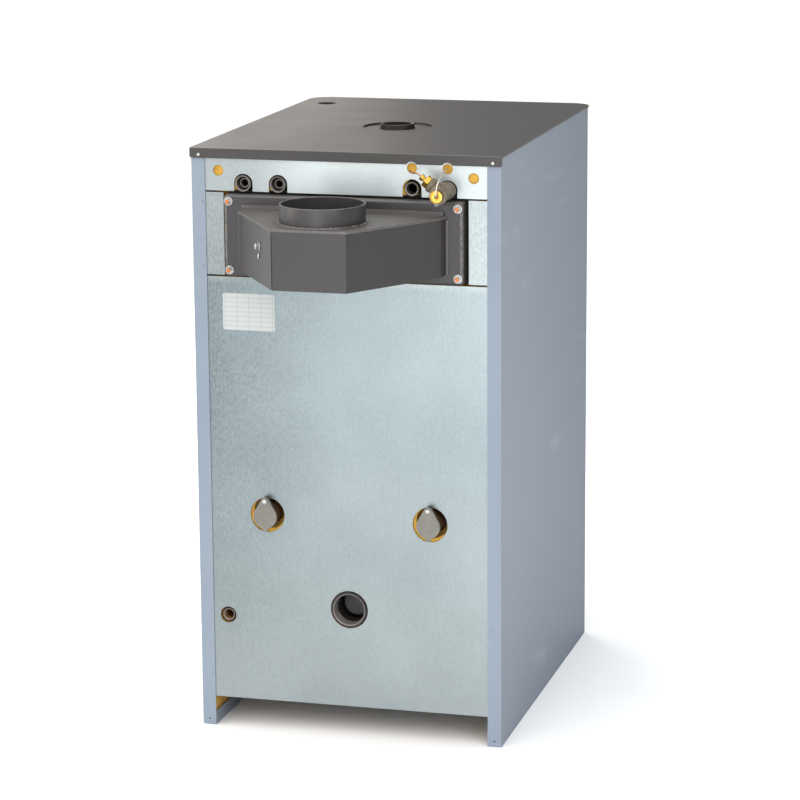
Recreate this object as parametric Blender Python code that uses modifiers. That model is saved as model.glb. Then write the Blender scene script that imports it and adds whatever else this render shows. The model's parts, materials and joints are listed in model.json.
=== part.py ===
"""Free-standing solid-fuel heating boiler with its flue outlet and pipe sockets at the back.

The boiler stands on z = 0 with its doors facing -Y and its pipe connections facing +Y.
Lengths are in metres.  A "depth" is measured from the rear plane of the casing towards
the doors, so a negative depth is something that stands proud of the back.
"""
import math

import bmesh
import bpy
from mathutils import Matrix, Vector

# Fits
FIT = 0.0003
FACET_SAG = 0.00028
WELD_DISTANCE = 0.00001
PAST = 0.010

# Casing of folded sheet
CASE_WIDTH = 0.560
CASE_DEPTH = 0.728
CASE_HEIGHT = 1.0585
SIDE_SHEET = 0.0015
REAR_FLANGE = 0.025
FRONT_FLANGE = 0.020
TOP_FLANGE = 0.025
BOTTOM_LIP = 0.025
FOLD_RELIEF = 0.005

# Top cover
COVER_SHEET = 0.003
COVER_LIP = 0.018
COVER_LIP_SHEET = 0.0025
COVER_LIP_STEP = 0.0005
COVER_SIDE_OVERHANG = 0.002
COVER_FRONT_OVERHANG = 0.035
COVER_FRONT_RADIUS = 0.040
COVER_REAR_RADIUS = 0.0035
FLOW_HOLE_RADIUS = 0.0635
REGULATOR_HOLE_MARGIN = 0.002
CAPILLARY_NOTCH_MARGIN = 0.0025

# Galvanised rear panels
PANEL_SHEET = 0.0012
LOWER_PANEL_BOTTOM = 0.055
UPPER_STRIP_HEIGHT = 0.0735
BAND_MARGIN = 0.003
BAND_SIDE_GAP = 0.006
BAND_SEAM = 0.003
WOOL_HOLE_RADIUS = 0.0095
WOOL_HOLE_INSET = 0.024
WOOL_HOLE_DROP = 0.0365
CAPILLARY_HOLE_RADIUS = 0.009
CAPILLARY_HOLE_DROP = 0.0215
SOCKET_SLOT_MARGIN = 0.0022
RETURN_HOLE_MARGIN = 0.0018
DRAIN_HOLE_MARGIN = 0.0028
AIR_HOLE_MARGIN = 0.0118

# Water jacket and fire box, welded plate
JACKET_REAR_DEPTH = 0.040
FRONT_SETBACK = 0.038
SIDE_INSULATION = 0.028
TOP_INSULATION = 0.0365
JACKET_BOTTOM = 0.062
JACKET_PLATE = 0.005
FIREBOX_PLATE = 0.005
REAR_WATERWAY = 0.050
SIDE_WATERWAY = 0.047
BOTTOM_WATERWAY = 0.033
SMOKE_HEADROOM = 0.006
SMOKE_SIDE_MARGIN = 0.030
GRATE_Z = 0.330
GRATE_THICKNESS = 0.020
GRATE_SIDE_PLAY = 0.004
GRATE_END_MARGIN = 0.025
GRATE_SLOT_WIDTH = 0.012
GRATE_SLOT_PITCH = 0.034
GRATE_BORDER = 0.030
LEDGE = 0.015
ASH_PAN_PLAY = 0.010
ASH_PAN_END_ROOM = 0.060
ASH_PAN_HEIGHT = 0.070
ASH_PAN_SHEET = 0.002
RAIL_WIDTH = 0.060
RAIL_INSET = 0.062
RAIL_SETBACK = 0.140
RAIL_WALL = 0.004

# Front plate and doors
FRONT_PLATE = 0.008
FRONT_PLATE_DROP = 0.022
OPENING_MARGIN = 0.030
OPENING_RADIUS = 0.015
LOADING_HEADROOM = 0.140
ASH_SILL = 0.045
DOOR_SPLIT = 0.505
DOOR_SPACING = 0.008
DOOR_SIDE_LAP = 0.058
DOOR_THICKNESS = 0.046
DOOR_LAP = 0.036
DOOR_GAP = 0.001
DOOR_SKIN = 0.004
DOOR_EDGE_RADIUS = 0.004
PLUG_CLEARANCE = 0.010
PLUG_LENGTH = 0.014
HINGE_OFFSET = 0.015
HINGE_SETBACK = 0.010
HINGE_BARREL_RADIUS = 0.009
HINGE_BARREL_LENGTH = 0.022
HINGE_INSET = 0.030
HINGE_ROD_RADIUS = 0.005
HINGE_ROD_HEAD = 0.006
HINGE_LEAF = 0.012
LATCH_OFFSET = 0.011
LATCH_EAR_HEIGHT = 0.030
LATCH_EAR_THICKNESS = 0.023
LATCH_EAR_MARGIN = 0.0115
SPINDLE_RADIUS = 0.005
TONGUE_LENGTH = 0.0165
TONGUE_WIDTH = 0.010
TONGUE_THICKNESS = 0.008
TONGUE_PLAY = 0.0032
KEEPER_LIP = 0.005
KEEPER_POST = 0.003
KEEPER_HEIGHT = 0.024
KEEPER_GAP = 0.0015
KEEPER_PLAY = 0.0020
LEVER_LENGTH = 0.085
LEVER_RADIUS = 0.0065
LEVER_STANDOFF = 0.020
GRIP_RADIUS = 0.014
GRIP_CLEARANCE = 0.005
HANDLE_REACH = 0.055

# Primary air flap on the ash door
AIR_OPENING_WIDTH = 0.160
AIR_OPENING_HEIGHT = 0.060
AIR_OPENING_RISE = 0.040
AIR_FLAP_LAP = 0.012
AIR_FLAP_THICKNESS = 0.004
AIR_PIN_RADIUS = 0.003
AIR_BARREL_RADIUS = 0.0055
AIR_EAR = 0.008
CHAIN_EYE_RADIUS = 0.007
CHAIN_EYE_BORE = 0.003

# Fascia and gauge
FASCIA_CLEARANCE = 0.010
GAUGE_INSET = 0.128
GAUGE_DROP = 0.0935
GAUGE_RADIUS = 0.0285
GAUGE_BODY = 0.022
GAUGE_BEZEL_RADIUS = 0.0325
GAUGE_BEZEL = 0.006
GAUGE_GLASS_RADIUS = 0.027
GAUGE_GLASS_RECESS = 0.002

# Flue outlet
FLUE_FACE = 0.016
FLUE_PAN_RIM = 0.0295
FLUE_PAN_HEIGHT = 0.144
FLUE_PAN_DEPTH = 0.0257
FLUE_PAN_RADIUS = 0.005
FLUE_SHEET = 0.004
FLUE_BOX_RISE = 0.048
FLUE_BOX_HEIGHT = 0.104
FLUE_NECK_STEP = 0.0165
FLUE_KNEE_TAPER = 0.006
FLUE_KNEE_REACH = 0.026
FLUE_FRONT_WIDTH = 0.131
FLUE_BOX_REACH = 0.203
FLUE_RIDGE_HEIGHT = 0.008
FLUE_RIDGE_PROUD = 0.006
FLUE_RIDGE_SET_IN = 0.0045
COLLAR_RADIUS = 0.074
COLLAR_SHEET = 0.003
COLLAR_HEIGHT = 0.0345
COLLAR_REACH = 0.118
GASKET = 0.004
GASKET_WIDTH = 0.017
DUCT_FLANGE = 0.006
DUCT_PLATE = 0.005
STUD_RADIUS = 0.0038
STUD_SIDE_EDGE = 0.009
STUD_END_EDGE = 0.011
STUD_END = 0.0085
WASHER_RADIUS = 0.008
WASHER = 0.0015
NUT_RADIUS = 0.0075
NUT = 0.0050
TEST_PLUG_UP = 0.0125
TEST_PLUG_ALONG = 0.136
TEST_PLUG_RADIUS = 0.004
TEST_PLUG_HEAD_RADIUS = 0.0060
TEST_PLUG_HEAD = 0.006
TEST_PLUG_WASHER_RADIUS = 0.0075

# Pipe sockets
SOCKET_HEADROOM = 0.0017
SOCKET_INSET = 0.067
SOCKET_PITCH = 0.0637
SOCKET_TAIL = 0.003
COIL_SOCKET_RADIUS = 0.0148
COIL_SOCKET_BORE = 0.0118
COIL_SOCKET_STEP = 0.016
COIL_RADIUS = 0.0090
COIL_BORE = 0.0062
COIL_COLLAR = 0.012
COIL_REACH = 0.420
SENSOR_SOCKET_RADIUS = 0.0128
SENSOR_SOCKET_BORE = 0.0095
GAUGE_SOCKET_RADIUS = 0.0146
GAUGE_SOCKET_BORE = 0.0105
RETURN_Z = 0.236
RETURN_RADIUS = 0.0327
RETURN_BORE = 0.0277
DRAIN_INSET = 0.024
DRAIN_Z = 0.211
DRAIN_RADIUS = 0.0122
DRAIN_BORE = 0.0088
DRAIN_SUNK = 0.005
FLOW_DEPTH = 0.354
FLOW_RADIUS = 0.0315
FLOW_BORE = 0.0265
FLOW_STANDS = 0.0055
REGULATOR_INSET = 0.025
REGULATOR_SETBACK = 0.029
REGULATOR_RADIUS = 0.016
REGULATOR_BORE = 0.0120
REGULATOR_SUNK = 0.010

# Tee, immersion well, gland and capillaries
TEE_RUN_RADIUS = 0.0140
TEE_BEAD_RADIUS = 0.0157
TEE_BEAD = 0.010
TEE_LENGTH = 0.068
TEE_SPIGOT = 0.020
TEE_BORE = 0.0085
TEE_CENTRE = 0.040
BRANCH_ANGLE = math.radians(38)
BRANCH_LENGTH = 0.027
BRANCH_RADIUS = 0.0120
BRANCH_BEAD_RADIUS = 0.0135
BRANCH_BEAD = 0.007
BRANCH_BORE = 0.0075
WELL_STEM = 0.040
WELL_NECK_RADIUS = 0.007
WELL_NECK = 0.004
WELL_HEAD_RADIUS = 0.011
WELL_HEAD = 0.008
WELL_BORE = 0.003
GLAND_HEX_RADIUS = 0.0100
GLAND_HEX = 0.009
GLAND_NECK_RADIUS = 0.0042
GLAND_NECK = 0.004
GLAND_NUT_RADIUS = 0.0060
GLAND_NUT = 0.006
GLAND_TAIL = 0.010
CAPILLARY_RADIUS = 0.0012
CAPILLARY_PLAY = 0.0008
COPPER_WAY_SHIFT = 0.0033
COPPER_WAY_DROP = 0.027
STEEL_WAY_DROP = 0.020
CLIP_RADIUS = 0.0007
CLIP_LOOP_REACH = 0.0165
CLIP_LOOP_WIDTH = 0.0045

# Secondary air inlets
AIR_INSET = 0.0445
AIR_Z = 0.4025
AIR_TUBE_RADIUS = 0.0200
AIR_TUBE_BORE = 0.0165
AIR_TUBE_TAIL = 0.003
COVER_DISC_RADIUS = 0.0215
COVER_EYE_RADIUS = 0.0072
COVER_EYE_RISE = 0.0280
COVER_PLATE = 0.004
COVER_TAB_WIDTH = 0.010
COVER_TAB = 0.006
SEAT_PLATE = 0.006
SEAT_PROUD = 0.0095
RIVET_RADIUS = 0.003
RIVET_HEAD_RADIUS = 0.005
RIVET_HEAD = 0.003
RIVET_TAIL = 0.004

# Sizes and places worked out from the sizes above
JACKET_FRONT_DEPTH = CASE_DEPTH - FRONT_SETBACK
JACKET_WIDTH = CASE_WIDTH - 2 * SIDE_INSULATION
JACKET_TOP = CASE_HEIGHT - TOP_INSULATION
FIREBOX_WIDTH = JACKET_WIDTH - 2 * (JACKET_PLATE + SIDE_WATERWAY)
FIREBOX_INNER_HALF = FIREBOX_WIDTH / 2 - FIREBOX_PLATE
FIREBOX_REAR_DEPTH = JACKET_REAR_DEPTH + JACKET_PLATE + REAR_WATERWAY
FIREBOX_BOTTOM = JACKET_BOTTOM + JACKET_PLATE + BOTTOM_WATERWAY
FIREBOX_FLOOR = FIREBOX_BOTTOM + FIREBOX_PLATE
BAND_TOP = CASE_HEIGHT - UPPER_STRIP_HEIGHT
BAND_BOTTOM = BAND_TOP - FLUE_PAN_HEIGHT - 2 * BAND_MARGIN
FLUE_Z = (BAND_BOTTOM + BAND_TOP) / 2
FLUE_BOX_TOP = FLUE_Z + FLUE_BOX_RISE
FLUE_BOX_BOTTOM = FLUE_BOX_TOP - FLUE_BOX_HEIGHT
FLUE_BOX_Z = (FLUE_BOX_BOTTOM + FLUE_BOX_TOP) / 2
DUCT_WIDTH = FIREBOX_WIDTH - 2 * SMOKE_SIDE_MARGIN
DUCT_HEIGHT = FLUE_BOX_HEIGHT - 2 * FLUE_SHEET
FIREBOX_TOP = FLUE_BOX_Z + DUCT_HEIGHT / 2 + SMOKE_HEADROOM + FIREBOX_PLATE
FLUE_NECK_WIDTH = DUCT_WIDTH + 2 * FLUE_NECK_STEP
FLUE_KNEE_WIDTH = FLUE_NECK_WIDTH - 2 * FLUE_KNEE_TAPER
FLUE_PAN_WIDTH = FLUE_NECK_WIDTH + 2 * FLUE_PAN_RIM
BAND_OPENING_WIDTH = FLUE_PAN_WIDTH + 2 * BAND_SIDE_GAP
STUD_X = FLUE_PAN_WIDTH / 2 - STUD_SIDE_EDGE
STUD_SPACING_Z = FLUE_PAN_HEIGHT - 2 * STUD_END_EDGE
OPENING_WIDTH = FIREBOX_WIDTH - 2 * OPENING_MARGIN
DOOR_WIDTH = OPENING_WIDTH + 2 * DOOR_SIDE_LAP
LOADING_OPENING = (DOOR_SPLIT + DOOR_SPACING / 2 + DOOR_LAP, FIREBOX_TOP - LOADING_HEADROOM)
ASH_OPENING = (FIREBOX_FLOOR + ASH_SILL, DOOR_SPLIT - DOOR_SPACING / 2 - DOOR_LAP)
FRONT_PLATE_DEPTH = JACKET_FRONT_DEPTH + FIT
FRONT_PLATE_FACE = FRONT_PLATE_DEPTH + FRONT_PLATE
DOOR_BACK = FRONT_PLATE_FACE + DOOR_GAP
DOOR_FACE = DOOR_BACK + DOOR_THICKNESS
FRONT_REACH = DOOR_FACE + HANDLE_REACH
REAR_REACH = FLUE_FACE + FLUE_BOX_REACH
REAR_Y = (FRONT_REACH - REAR_REACH) / 2
PANEL_DEPTH = SIDE_SHEET + FIT
WOOL_DEPTH = PANEL_DEPTH + PANEL_SHEET + FIT
INNER_HALF_WIDTH = CASE_WIDTH / 2 - SIDE_SHEET - FIT
INNER_TOP = CASE_HEIGHT - SIDE_SHEET - FIT
SIDE_WOOL_INNER = CASE_WIDTH / 2 - REAR_FLANGE + SIDE_SHEET + FIT
CORE_HALF_WIDTH = SIDE_WOOL_INNER - FIT
COVER_UNDERSIDE = CASE_HEIGHT + FIT
COVER_TOP = COVER_UNDERSIDE + COVER_SHEET
PAN_BACK = FLUE_PAN_DEPTH - FLUE_FACE
GASKET_DEPTH = PAN_BACK + FIT
DUCT_DEPTH = GASKET_DEPTH + GASKET + FIT
HINGE_X = -DOOR_WIDTH / 2 - HINGE_OFFSET
HINGE_DEPTH = DOOR_FACE - HINGE_SETBACK
LATCH_X = DOOR_WIDTH / 2 + LATCH_OFFSET
FASCIA_DEPTH = CASE_DEPTH - SIDE_SHEET - FIT - PANEL_SHEET
GAUGE_X = GAUGE_INSET - CASE_WIDTH / 2
GAUGE_Z = CASE_HEIGHT - GAUGE_DROP
SOCKET_INNER_DEPTH = JACKET_REAR_DEPTH + JACKET_PLATE + SOCKET_TAIL
SOCKET_Z = JACKET_TOP - JACKET_PLATE - COIL_SOCKET_RADIUS - SOCKET_HEADROOM
SOCKET_OUTER_X = JACKET_WIDTH / 2 - SOCKET_INSET
SOCKET_INNER_X = SOCKET_OUTER_X - SOCKET_PITCH
WOOL_HOLE_X = CASE_WIDTH / 2 - REAR_FLANGE - WOOL_HOLE_INSET
WOOL_HOLE_Z = CASE_HEIGHT - WOOL_HOLE_DROP
CAPILLARY_HOLE_Z = CASE_HEIGHT - CAPILLARY_HOLE_DROP
COPPER_WAY = (COPPER_WAY_SHIFT - SOCKET_INNER_X, CASE_HEIGHT - COPPER_WAY_DROP)
STEEL_WAY = (-SOCKET_OUTER_X, CASE_HEIGHT - STEEL_WAY_DROP)
DRAIN_X = JACKET_WIDTH / 2 - DRAIN_INSET
REGULATOR_X = JACKET_WIDTH / 2 - REGULATOR_INSET
REGULATOR_DEPTH = JACKET_FRONT_DEPTH - REGULATOR_SETBACK
AIR_X = FIREBOX_INNER_HALF - AIR_INSET
TEE_REAR = FIT
TEE_FRONT = TEE_REAR + TEE_LENGTH
TEE_AXIS_X = -SOCKET_OUTER_X
BRANCH_DIRECTION = Vector((math.cos(BRANCH_ANGLE), 0, math.sin(BRANCH_ANGLE)))


def clear_scene():
    for thing in list(bpy.data.objects):
        bpy.data.objects.remove(thing, do_unlink=True)


def make_collection(name):
    collection = bpy.data.collections.new(name)
    bpy.context.scene.collection.children.link(collection)
    return collection


def make_material(name, colour, roughness, metallic):
    material = bpy.data.materials.new(name)
    material.use_nodes = True
    shader = material.node_tree.nodes["Principled BSDF"]
    shader.inputs["Base Color"].default_value = (*colour, 1)
    shader.inputs["Roughness"].default_value = roughness
    shader.inputs["Metallic"].default_value = metallic
    return material


clear_scene()
PARTS = make_collection("solid_fuel_boiler")
CUTTERS = make_collection("cutters")
BLUE_GREY = make_material("blue_grey_coat", (0.36, 0.43, 0.50), 0.45, 0.0)
ANTHRACITE = make_material("anthracite_coat", (0.07, 0.07, 0.075), 0.6, 0.0)
GALVANISED = make_material("galvanised_sheet", (0.62, 0.68, 0.69), 0.4, 0.9)
FLUE_BLACK = make_material("flue_black", (0.09, 0.085, 0.085), 0.55, 0.2)
WOOL = make_material("mineral_wool", (0.55, 0.36, 0.06), 0.95, 0.0)
STEEL_PLATE = make_material("mill_steel", (0.12, 0.12, 0.125), 0.6, 0.7)
PIPE_IRON = make_material("pipe_iron", (0.10, 0.09, 0.085), 0.5, 0.8)
BRASS = make_material("brass", (0.80, 0.58, 0.20), 0.25, 1.0)
COPPER = make_material("copper", (0.75, 0.42, 0.27), 0.3, 1.0)
BRIGHT_STEEL = make_material("bright_steel", (0.75, 0.75, 0.74), 0.3, 1.0)
CAST_GREY = make_material("cast_grey", (0.36, 0.35, 0.33), 0.6, 0.5)
LINER = make_material("door_liner", (0.55, 0.50, 0.42), 0.9, 0.0)
GASKET_FIBRE = make_material("gasket_fibre", (0.62, 0.60, 0.54), 0.95, 0.0)
BLACK_GRIP = make_material("black_grip", (0.02, 0.02, 0.02), 0.4, 0.0)
DIAL = make_material("gauge_case", (0.03, 0.03, 0.03), 0.3, 0.0)


def at(x, depth, z):
    """Point at a depth behind the rear plane of the casing."""
    return Vector((x, REAR_Y - depth, z))


def smooth(mesh):
    mesh.shade_smooth()
    mesh.set_sharp_from_angle(angle=math.radians(35))


def add_object(name, mesh, material=None):
    """Put a mesh in the parts, or with no material in the cutters."""
    thing = bpy.data.objects.new(name, mesh)
    if material is None:
        CUTTERS.objects.link(thing)
        thing.hide_render = True
        thing.display_type = "WIRE"
    else:
        mesh.materials.clear()
        mesh.materials.append(material)
        PARTS.objects.link(thing)
    return thing


def finish_bmesh(bm, name):
    mesh = bpy.data.meshes.new(name)
    bm.to_mesh(mesh)
    bm.free()
    return mesh


def box(name, x_range, depth_range, z_range, material=None):
    """Rectangular block between two x, two depths and two heights."""
    low = at(min(x_range), max(depth_range), min(z_range))
    high = at(max(x_range), min(depth_range), max(z_range))
    bm = bmesh.new()
    bmesh.ops.create_cube(bm, size=1)
    bmesh.ops.scale(bm, vec=high - low, verts=bm.verts)
    bmesh.ops.translate(bm, vec=(low + high) / 2, verts=bm.verts)
    return add_object(name, finish_bmesh(bm, name), material)


def axis_matrix(origin, direction):
    """Frame whose local Z runs along the direction."""
    turn = Vector(direction).to_track_quat("Z", "Y")
    return Matrix.Translation(origin) @ turn.to_matrix().to_4x4()


def sides_for(radius):
    """Sides that keep a round piece's flats clear of the bore it fits."""
    return 4 * math.ceil(math.pi / math.acos(1 - FACET_SAG / radius) / 4)


def rod(name, start, end, radius, material=None, sides=None):
    """Round or many-sided bar between two points."""
    start, end = Vector(start), Vector(end)
    bm = bmesh.new()
    bmesh.ops.create_cone(bm, cap_ends=True, segments=sides or sides_for(radius), radius1=radius,
                          radius2=radius, depth=(end - start).length)
    bm.transform(axis_matrix((start + end) / 2, end - start))
    mesh = finish_bmesh(bm, name)
    smooth(mesh)
    return add_object(name, mesh, material)


def turned(name, profile, origin, direction, material):
    """Turned ring or bar: the (radius, height) loop starts at the outer top edge."""
    bm = bmesh.new()
    points = [bm.verts.new((radius, 0, height)) for radius, height in profile]
    hollow = min(radius for radius, _ in profile) > 0
    last = len(points) if hollow else len(points) - 1
    for index in range(last):
        bm.edges.new((points[index], points[(index + 1) % len(points)]))
    thing = add_object(name, finish_bmesh(bm, name), material)
    screw = thing.modifiers.new("turn", "SCREW")
    screw.axis = "Z"
    screw.angle = math.tau
    screw.steps = sides_for(max(radius for radius, _ in profile))
    screw.render_steps = screw.steps
    screw.use_merge_vertices = True
    screw.merge_threshold = WELD_DISTANCE
    screw.use_smooth_shade = True
    thing.matrix_world = axis_matrix(origin, direction)
    return thing


def pipe(name, radius, bore, start, end, material):
    """Plain tube between two points."""
    start, end = Vector(start), Vector(end)
    length = (end - start).length
    profile = [(radius, length), (radius, 0), (bore, 0), (bore, length)]
    return turned(name, profile, start, end - start, material)


def as_mesh(thing, name, material):
    """Swap an evaluated curve for a welded mesh."""
    bpy.context.view_layer.update()
    graph = bpy.context.evaluated_depsgraph_get()
    mesh = bpy.data.meshes.new_from_object(thing.evaluated_get(graph))
    bm = bmesh.new()
    bm.from_mesh(mesh)
    bm.transform(thing.matrix_world)
    bmesh.ops.remove_doubles(bm, verts=bm.verts, dist=WELD_DISTANCE)
    bmesh.ops.recalc_face_normals(bm, faces=bm.faces)
    bm.to_mesh(mesh)
    bm.free()
    bpy.data.objects.remove(thing, do_unlink=True)
    smooth(mesh)
    return add_object(name, mesh, material)


def plate(name, outline, thickness, matrix, material=None, holes=()):
    """Flat outline with any holes in it, thick about its own plane."""
    curve = bpy.data.curves.new(name, "CURVE")
    curve.dimensions = "2D"
    curve.fill_mode = "BOTH"
    curve.extrude = thickness / 2
    for loop in (outline, *holes):
        spline = curve.splines.new("POLY")
        spline.points.add(len(loop) - 1)
        for point, (across, up) in zip(spline.points, loop):
            point.co = (across, up, 0, 1)
        spline.use_cyclic_u = True
    thing = bpy.data.objects.new(name, curve)
    CUTTERS.objects.link(thing)
    thing.matrix_world = matrix
    return as_mesh(thing, name, material)


def upright(depth_range):
    """Frame for an outline drawn in x and z, centred between two depths."""
    middle = sum(depth_range) / 2
    return Matrix.Translation(at(0, middle, 0)) @ Matrix.Rotation(math.pi / 2, 4, "X")


def level(z_range):
    """Frame for an outline drawn in x and y, centred between two heights."""
    return Matrix.Translation((0, 0, sum(z_range) / 2))


def wire(name, points, radius, material, resolution=1):
    """Wire or thin tube along a smooth curve through the points."""
    curve = bpy.data.curves.new(name, "CURVE")
    curve.dimensions = "3D"
    curve.bevel_depth = radius
    curve.bevel_resolution = resolution
    curve.use_fill_caps = True
    spline = curve.splines.new("POLY")
    spline.points.add(len(points) - 1)
    for target, point in zip(spline.points, points):
        target.co = (*point, 1)
    thing = bpy.data.objects.new(name, curve)
    CUTTERS.objects.link(thing)
    return as_mesh(thing, name, material)


def through(points, steps=6):
    """Points of a Catmull-Rom curve through a hand-chosen route."""
    route = [Vector(point) for point in points]
    route = [route[0] * 2 - route[1]] + route + [route[-1] * 2 - route[-2]]
    path = []
    for before, start, end, after in zip(route, route[1:], route[2:], route[3:]):
        for step in range(steps):
            t = step / steps
            path.append(0.5 * (2 * start + (end - before) * t
                               + (2 * before - 5 * start + 4 * end - after) * t ** 2
                               + (3 * start - before - 3 * end + after) * t ** 3))
    return path + [route[-2]]


def arc(centre_x, centre_y, radius, start, end, steps):
    """Points of an arc, angles in degrees."""
    angles = [math.radians(start + (end - start) * index / steps) for index in range(steps + 1)]
    return [(centre_x + radius * math.cos(a), centre_y + radius * math.sin(a)) for a in angles]


def circle(centre_x, centre_y, radius):
    """Outline of a round hole."""
    sides = sides_for(radius)
    return arc(centre_x, centre_y, radius, 0, 360 - 360 / sides, sides - 1)


def rectangle(x_range, y_range):
    (left, right), (low, high) = sorted(x_range), sorted(y_range)
    return [(left, low), (right, low), (right, high), (left, high)]


def rounded_rectangle(x_range, y_range, radii):
    """Outline with corner radii in the order low-low, high-low, high-high, low-high."""
    (left, right), (low, high) = sorted(x_range), sorted(y_range)
    corners = [(left, low, 1, 1, 180), (right, low, -1, 1, 270), (right, high, -1, -1, 0),
               (left, high, 1, -1, 90)]
    outline = []
    for radius, (x, y, side, rise, start) in zip(radii, corners):
        outline += arc(x + side * radius, y + rise * radius, radius, start, start + 90, 6)
    return outline


def teardrop(disc_radius, eye_radius, eye_rise):
    """Round disc drawn up to a small eye above it, about the eye's centre."""
    lean = math.degrees(math.asin((disc_radius - eye_radius) / eye_rise))
    disc = arc(0, -eye_rise, disc_radius, 180 - lean, 360 + lean, 24)
    eye = arc(0, 0, eye_radius, lean, 180 - lean, 10)
    return disc + eye


def boolean(thing, operand, operation):
    modifier = thing.modifiers.new(operand.name, "BOOLEAN")
    modifier.operation = operation
    modifier.object = operand
    modifier.solver = "EXACT"
    return thing


def cut(thing, *cutters):
    for cutter in cutters:
        boolean(thing, cutter, "DIFFERENCE")
    return thing


def fuse(thing, *pieces):
    for piece in pieces:
        boolean(thing, piece, "UNION")
    return thing


def pivot_at(thing, point):
    """Move a mesh object's origin to a joint, with its shape left in place."""
    thing.data.transform(Matrix.Translation(-Vector(point)))
    thing.location = point
    return thing


def bevel(thing, width, segments=2):
    modifier = thing.modifiers.new("rounded edges", "BEVEL")
    modifier.width = width
    modifier.segments = segments
    modifier.limit_method = "ANGLE"
    return thing


def bore_across(name, x, z, radius, depth_range):
    """Round cutter along Y."""
    return rod(name, at(x, depth_range[0], z), at(x, depth_range[1], z), radius)


def centred(width):
    return (-width / 2, width / 2)


# Casing


def side_panel(name, side):
    """One sheet folded in at the back, front and top, with an upturned lip along the floor."""
    half = SIDE_SHEET / 2
    middle_x = CASE_WIDTH / 2 - half
    depths = [half, FOLD_RELIEF, CASE_DEPTH - FOLD_RELIEF, CASE_DEPTH - half]
    heights = [half, FOLD_RELIEF, CASE_HEIGHT - FOLD_RELIEF, CASE_HEIGHT - half]
    bm = bmesh.new()
    bmesh.ops.create_grid(bm, x_segments=3, y_segments=3, size=1)
    columns = sorted({round(vert.co.x, 3) for vert in bm.verts})
    rows = sorted({round(vert.co.y, 3) for vert in bm.verts})
    for vert in bm.verts:
        depth = depths[columns.index(round(vert.co.x, 3))]
        height = heights[rows.index(round(vert.co.y, 3))]
        vert.co = at(side * middle_x, depth, height)

    def fold(chosen, shift):
        edges = [edge for edge in bm.edges if all(chosen(vert.co) for vert in edge.verts)]
        made = bmesh.ops.extrude_edge_only(bm, edges=edges)["geom"]
        verts = [item for item in made if isinstance(item, bmesh.types.BMVert)]
        bmesh.ops.translate(bm, vec=shift, verts=verts)

    def near(value, wanted):
        return abs(value - wanted) < WELD_DISTANCE

    def between_reliefs(point):
        return REAR_Y - depths[2] - WELD_DISTANCE < point.y < REAR_Y - depths[1] + WELD_DISTANCE

    fold(lambda point: near(point.y, REAR_Y - depths[0]), (-side * (REAR_FLANGE - half), 0, 0))
    fold(lambda point: near(point.y, REAR_Y - depths[3]), (-side * (FRONT_FLANGE - half), 0, 0))
    fold(lambda point: near(point.z, heights[3]) and between_reliefs(point)
         and near(abs(point.x), middle_x), (-side * (TOP_FLANGE - half), 0, 0))
    lip_x = middle_x - REAR_FLANGE + SIDE_SHEET
    fold(lambda point: near(point.z, heights[0]) and between_reliefs(point)
         and near(abs(point.x), middle_x), (-side * (middle_x - lip_x), 0, 0))
    fold(lambda point: near(point.z, heights[0]) and near(abs(point.x), lip_x)
         and between_reliefs(point), (0, 0, BOTTOM_LIP - half))
    bmesh.ops.recalc_face_normals(bm, faces=bm.faces)
    panel = add_object(name, finish_bmesh(bm, name), BLUE_GREY)
    sheet = panel.modifiers.new("sheet", "SOLIDIFY")
    sheet.thickness = SIDE_SHEET
    sheet.offset = 0
    sheet.use_even_offset = True
    return panel


def top_cover():
    """Flat plate with round front corners and a turned-down rear lip notched for capillaries."""
    half_width = CASE_WIDTH / 2 + COVER_SIDE_OVERHANG
    front = REAR_Y - CASE_DEPTH - COVER_FRONT_OVERHANG
    lip_inner = -FIT
    lip_outer = lip_inner - COVER_LIP_SHEET
    rear = REAR_Y - lip_inner + COVER_LIP_SHEET / 2
    radii = [COVER_FRONT_RADIUS, COVER_FRONT_RADIUS, COVER_REAR_RADIUS, COVER_REAR_RADIUS]
    heights = (COVER_UNDERSIDE, COVER_TOP)
    cover = plate("top_cover", rounded_rectangle((-half_width, half_width), (front, rear), radii),
                  COVER_SHEET, level(heights), ANTHRACITE)
    lip_bottom = COVER_TOP - COVER_LIP
    lip_radii = [COVER_REAR_RADIUS, COVER_REAR_RADIUS, COVER_LIP_STEP, COVER_LIP_STEP]
    lip = plate("cover_lip", rounded_rectangle((-half_width, half_width),
                                               (lip_bottom, COVER_TOP - COVER_LIP_STEP), lip_radii),
                COVER_LIP_SHEET, upright((lip_inner, lip_outer)))
    fuse(cover, lip)
    for name, x in (("inner", SOCKET_INNER_X), ("outer", SOCKET_OUTER_X)):
        notch = bore_across("cover_notch_" + name, -x, CAPILLARY_HOLE_Z,
                            CAPILLARY_HOLE_RADIUS + CAPILLARY_NOTCH_MARGIN,
                            (lip_outer - PAST, COVER_LIP_SHEET / 2))
        cut(cover, notch)
    over, under = COVER_TOP + PAST, COVER_UNDERSIDE - PAST
    flow_hole = rod("cover_flow_hole", at(0, FLOW_DEPTH, under), at(0, FLOW_DEPTH, over),
                    FLOW_HOLE_RADIUS)
    regulator_hole = rod("cover_regulator_hole", at(REGULATOR_X, REGULATOR_DEPTH, under),
                         at(REGULATOR_X, REGULATOR_DEPTH, over), REGULATOR_RADIUS + REGULATOR_HOLE_MARGIN)
    return cut(cover, flow_hole, regulator_hole)


def rear_sheet(name, outline, holes=()):
    """Flat galvanised sheet behind the side flanges."""
    depths = (PANEL_DEPTH, PANEL_DEPTH + PANEL_SHEET)
    return plate(name, outline, PANEL_SHEET, upright(depths), GALVANISED, holes)


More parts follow.
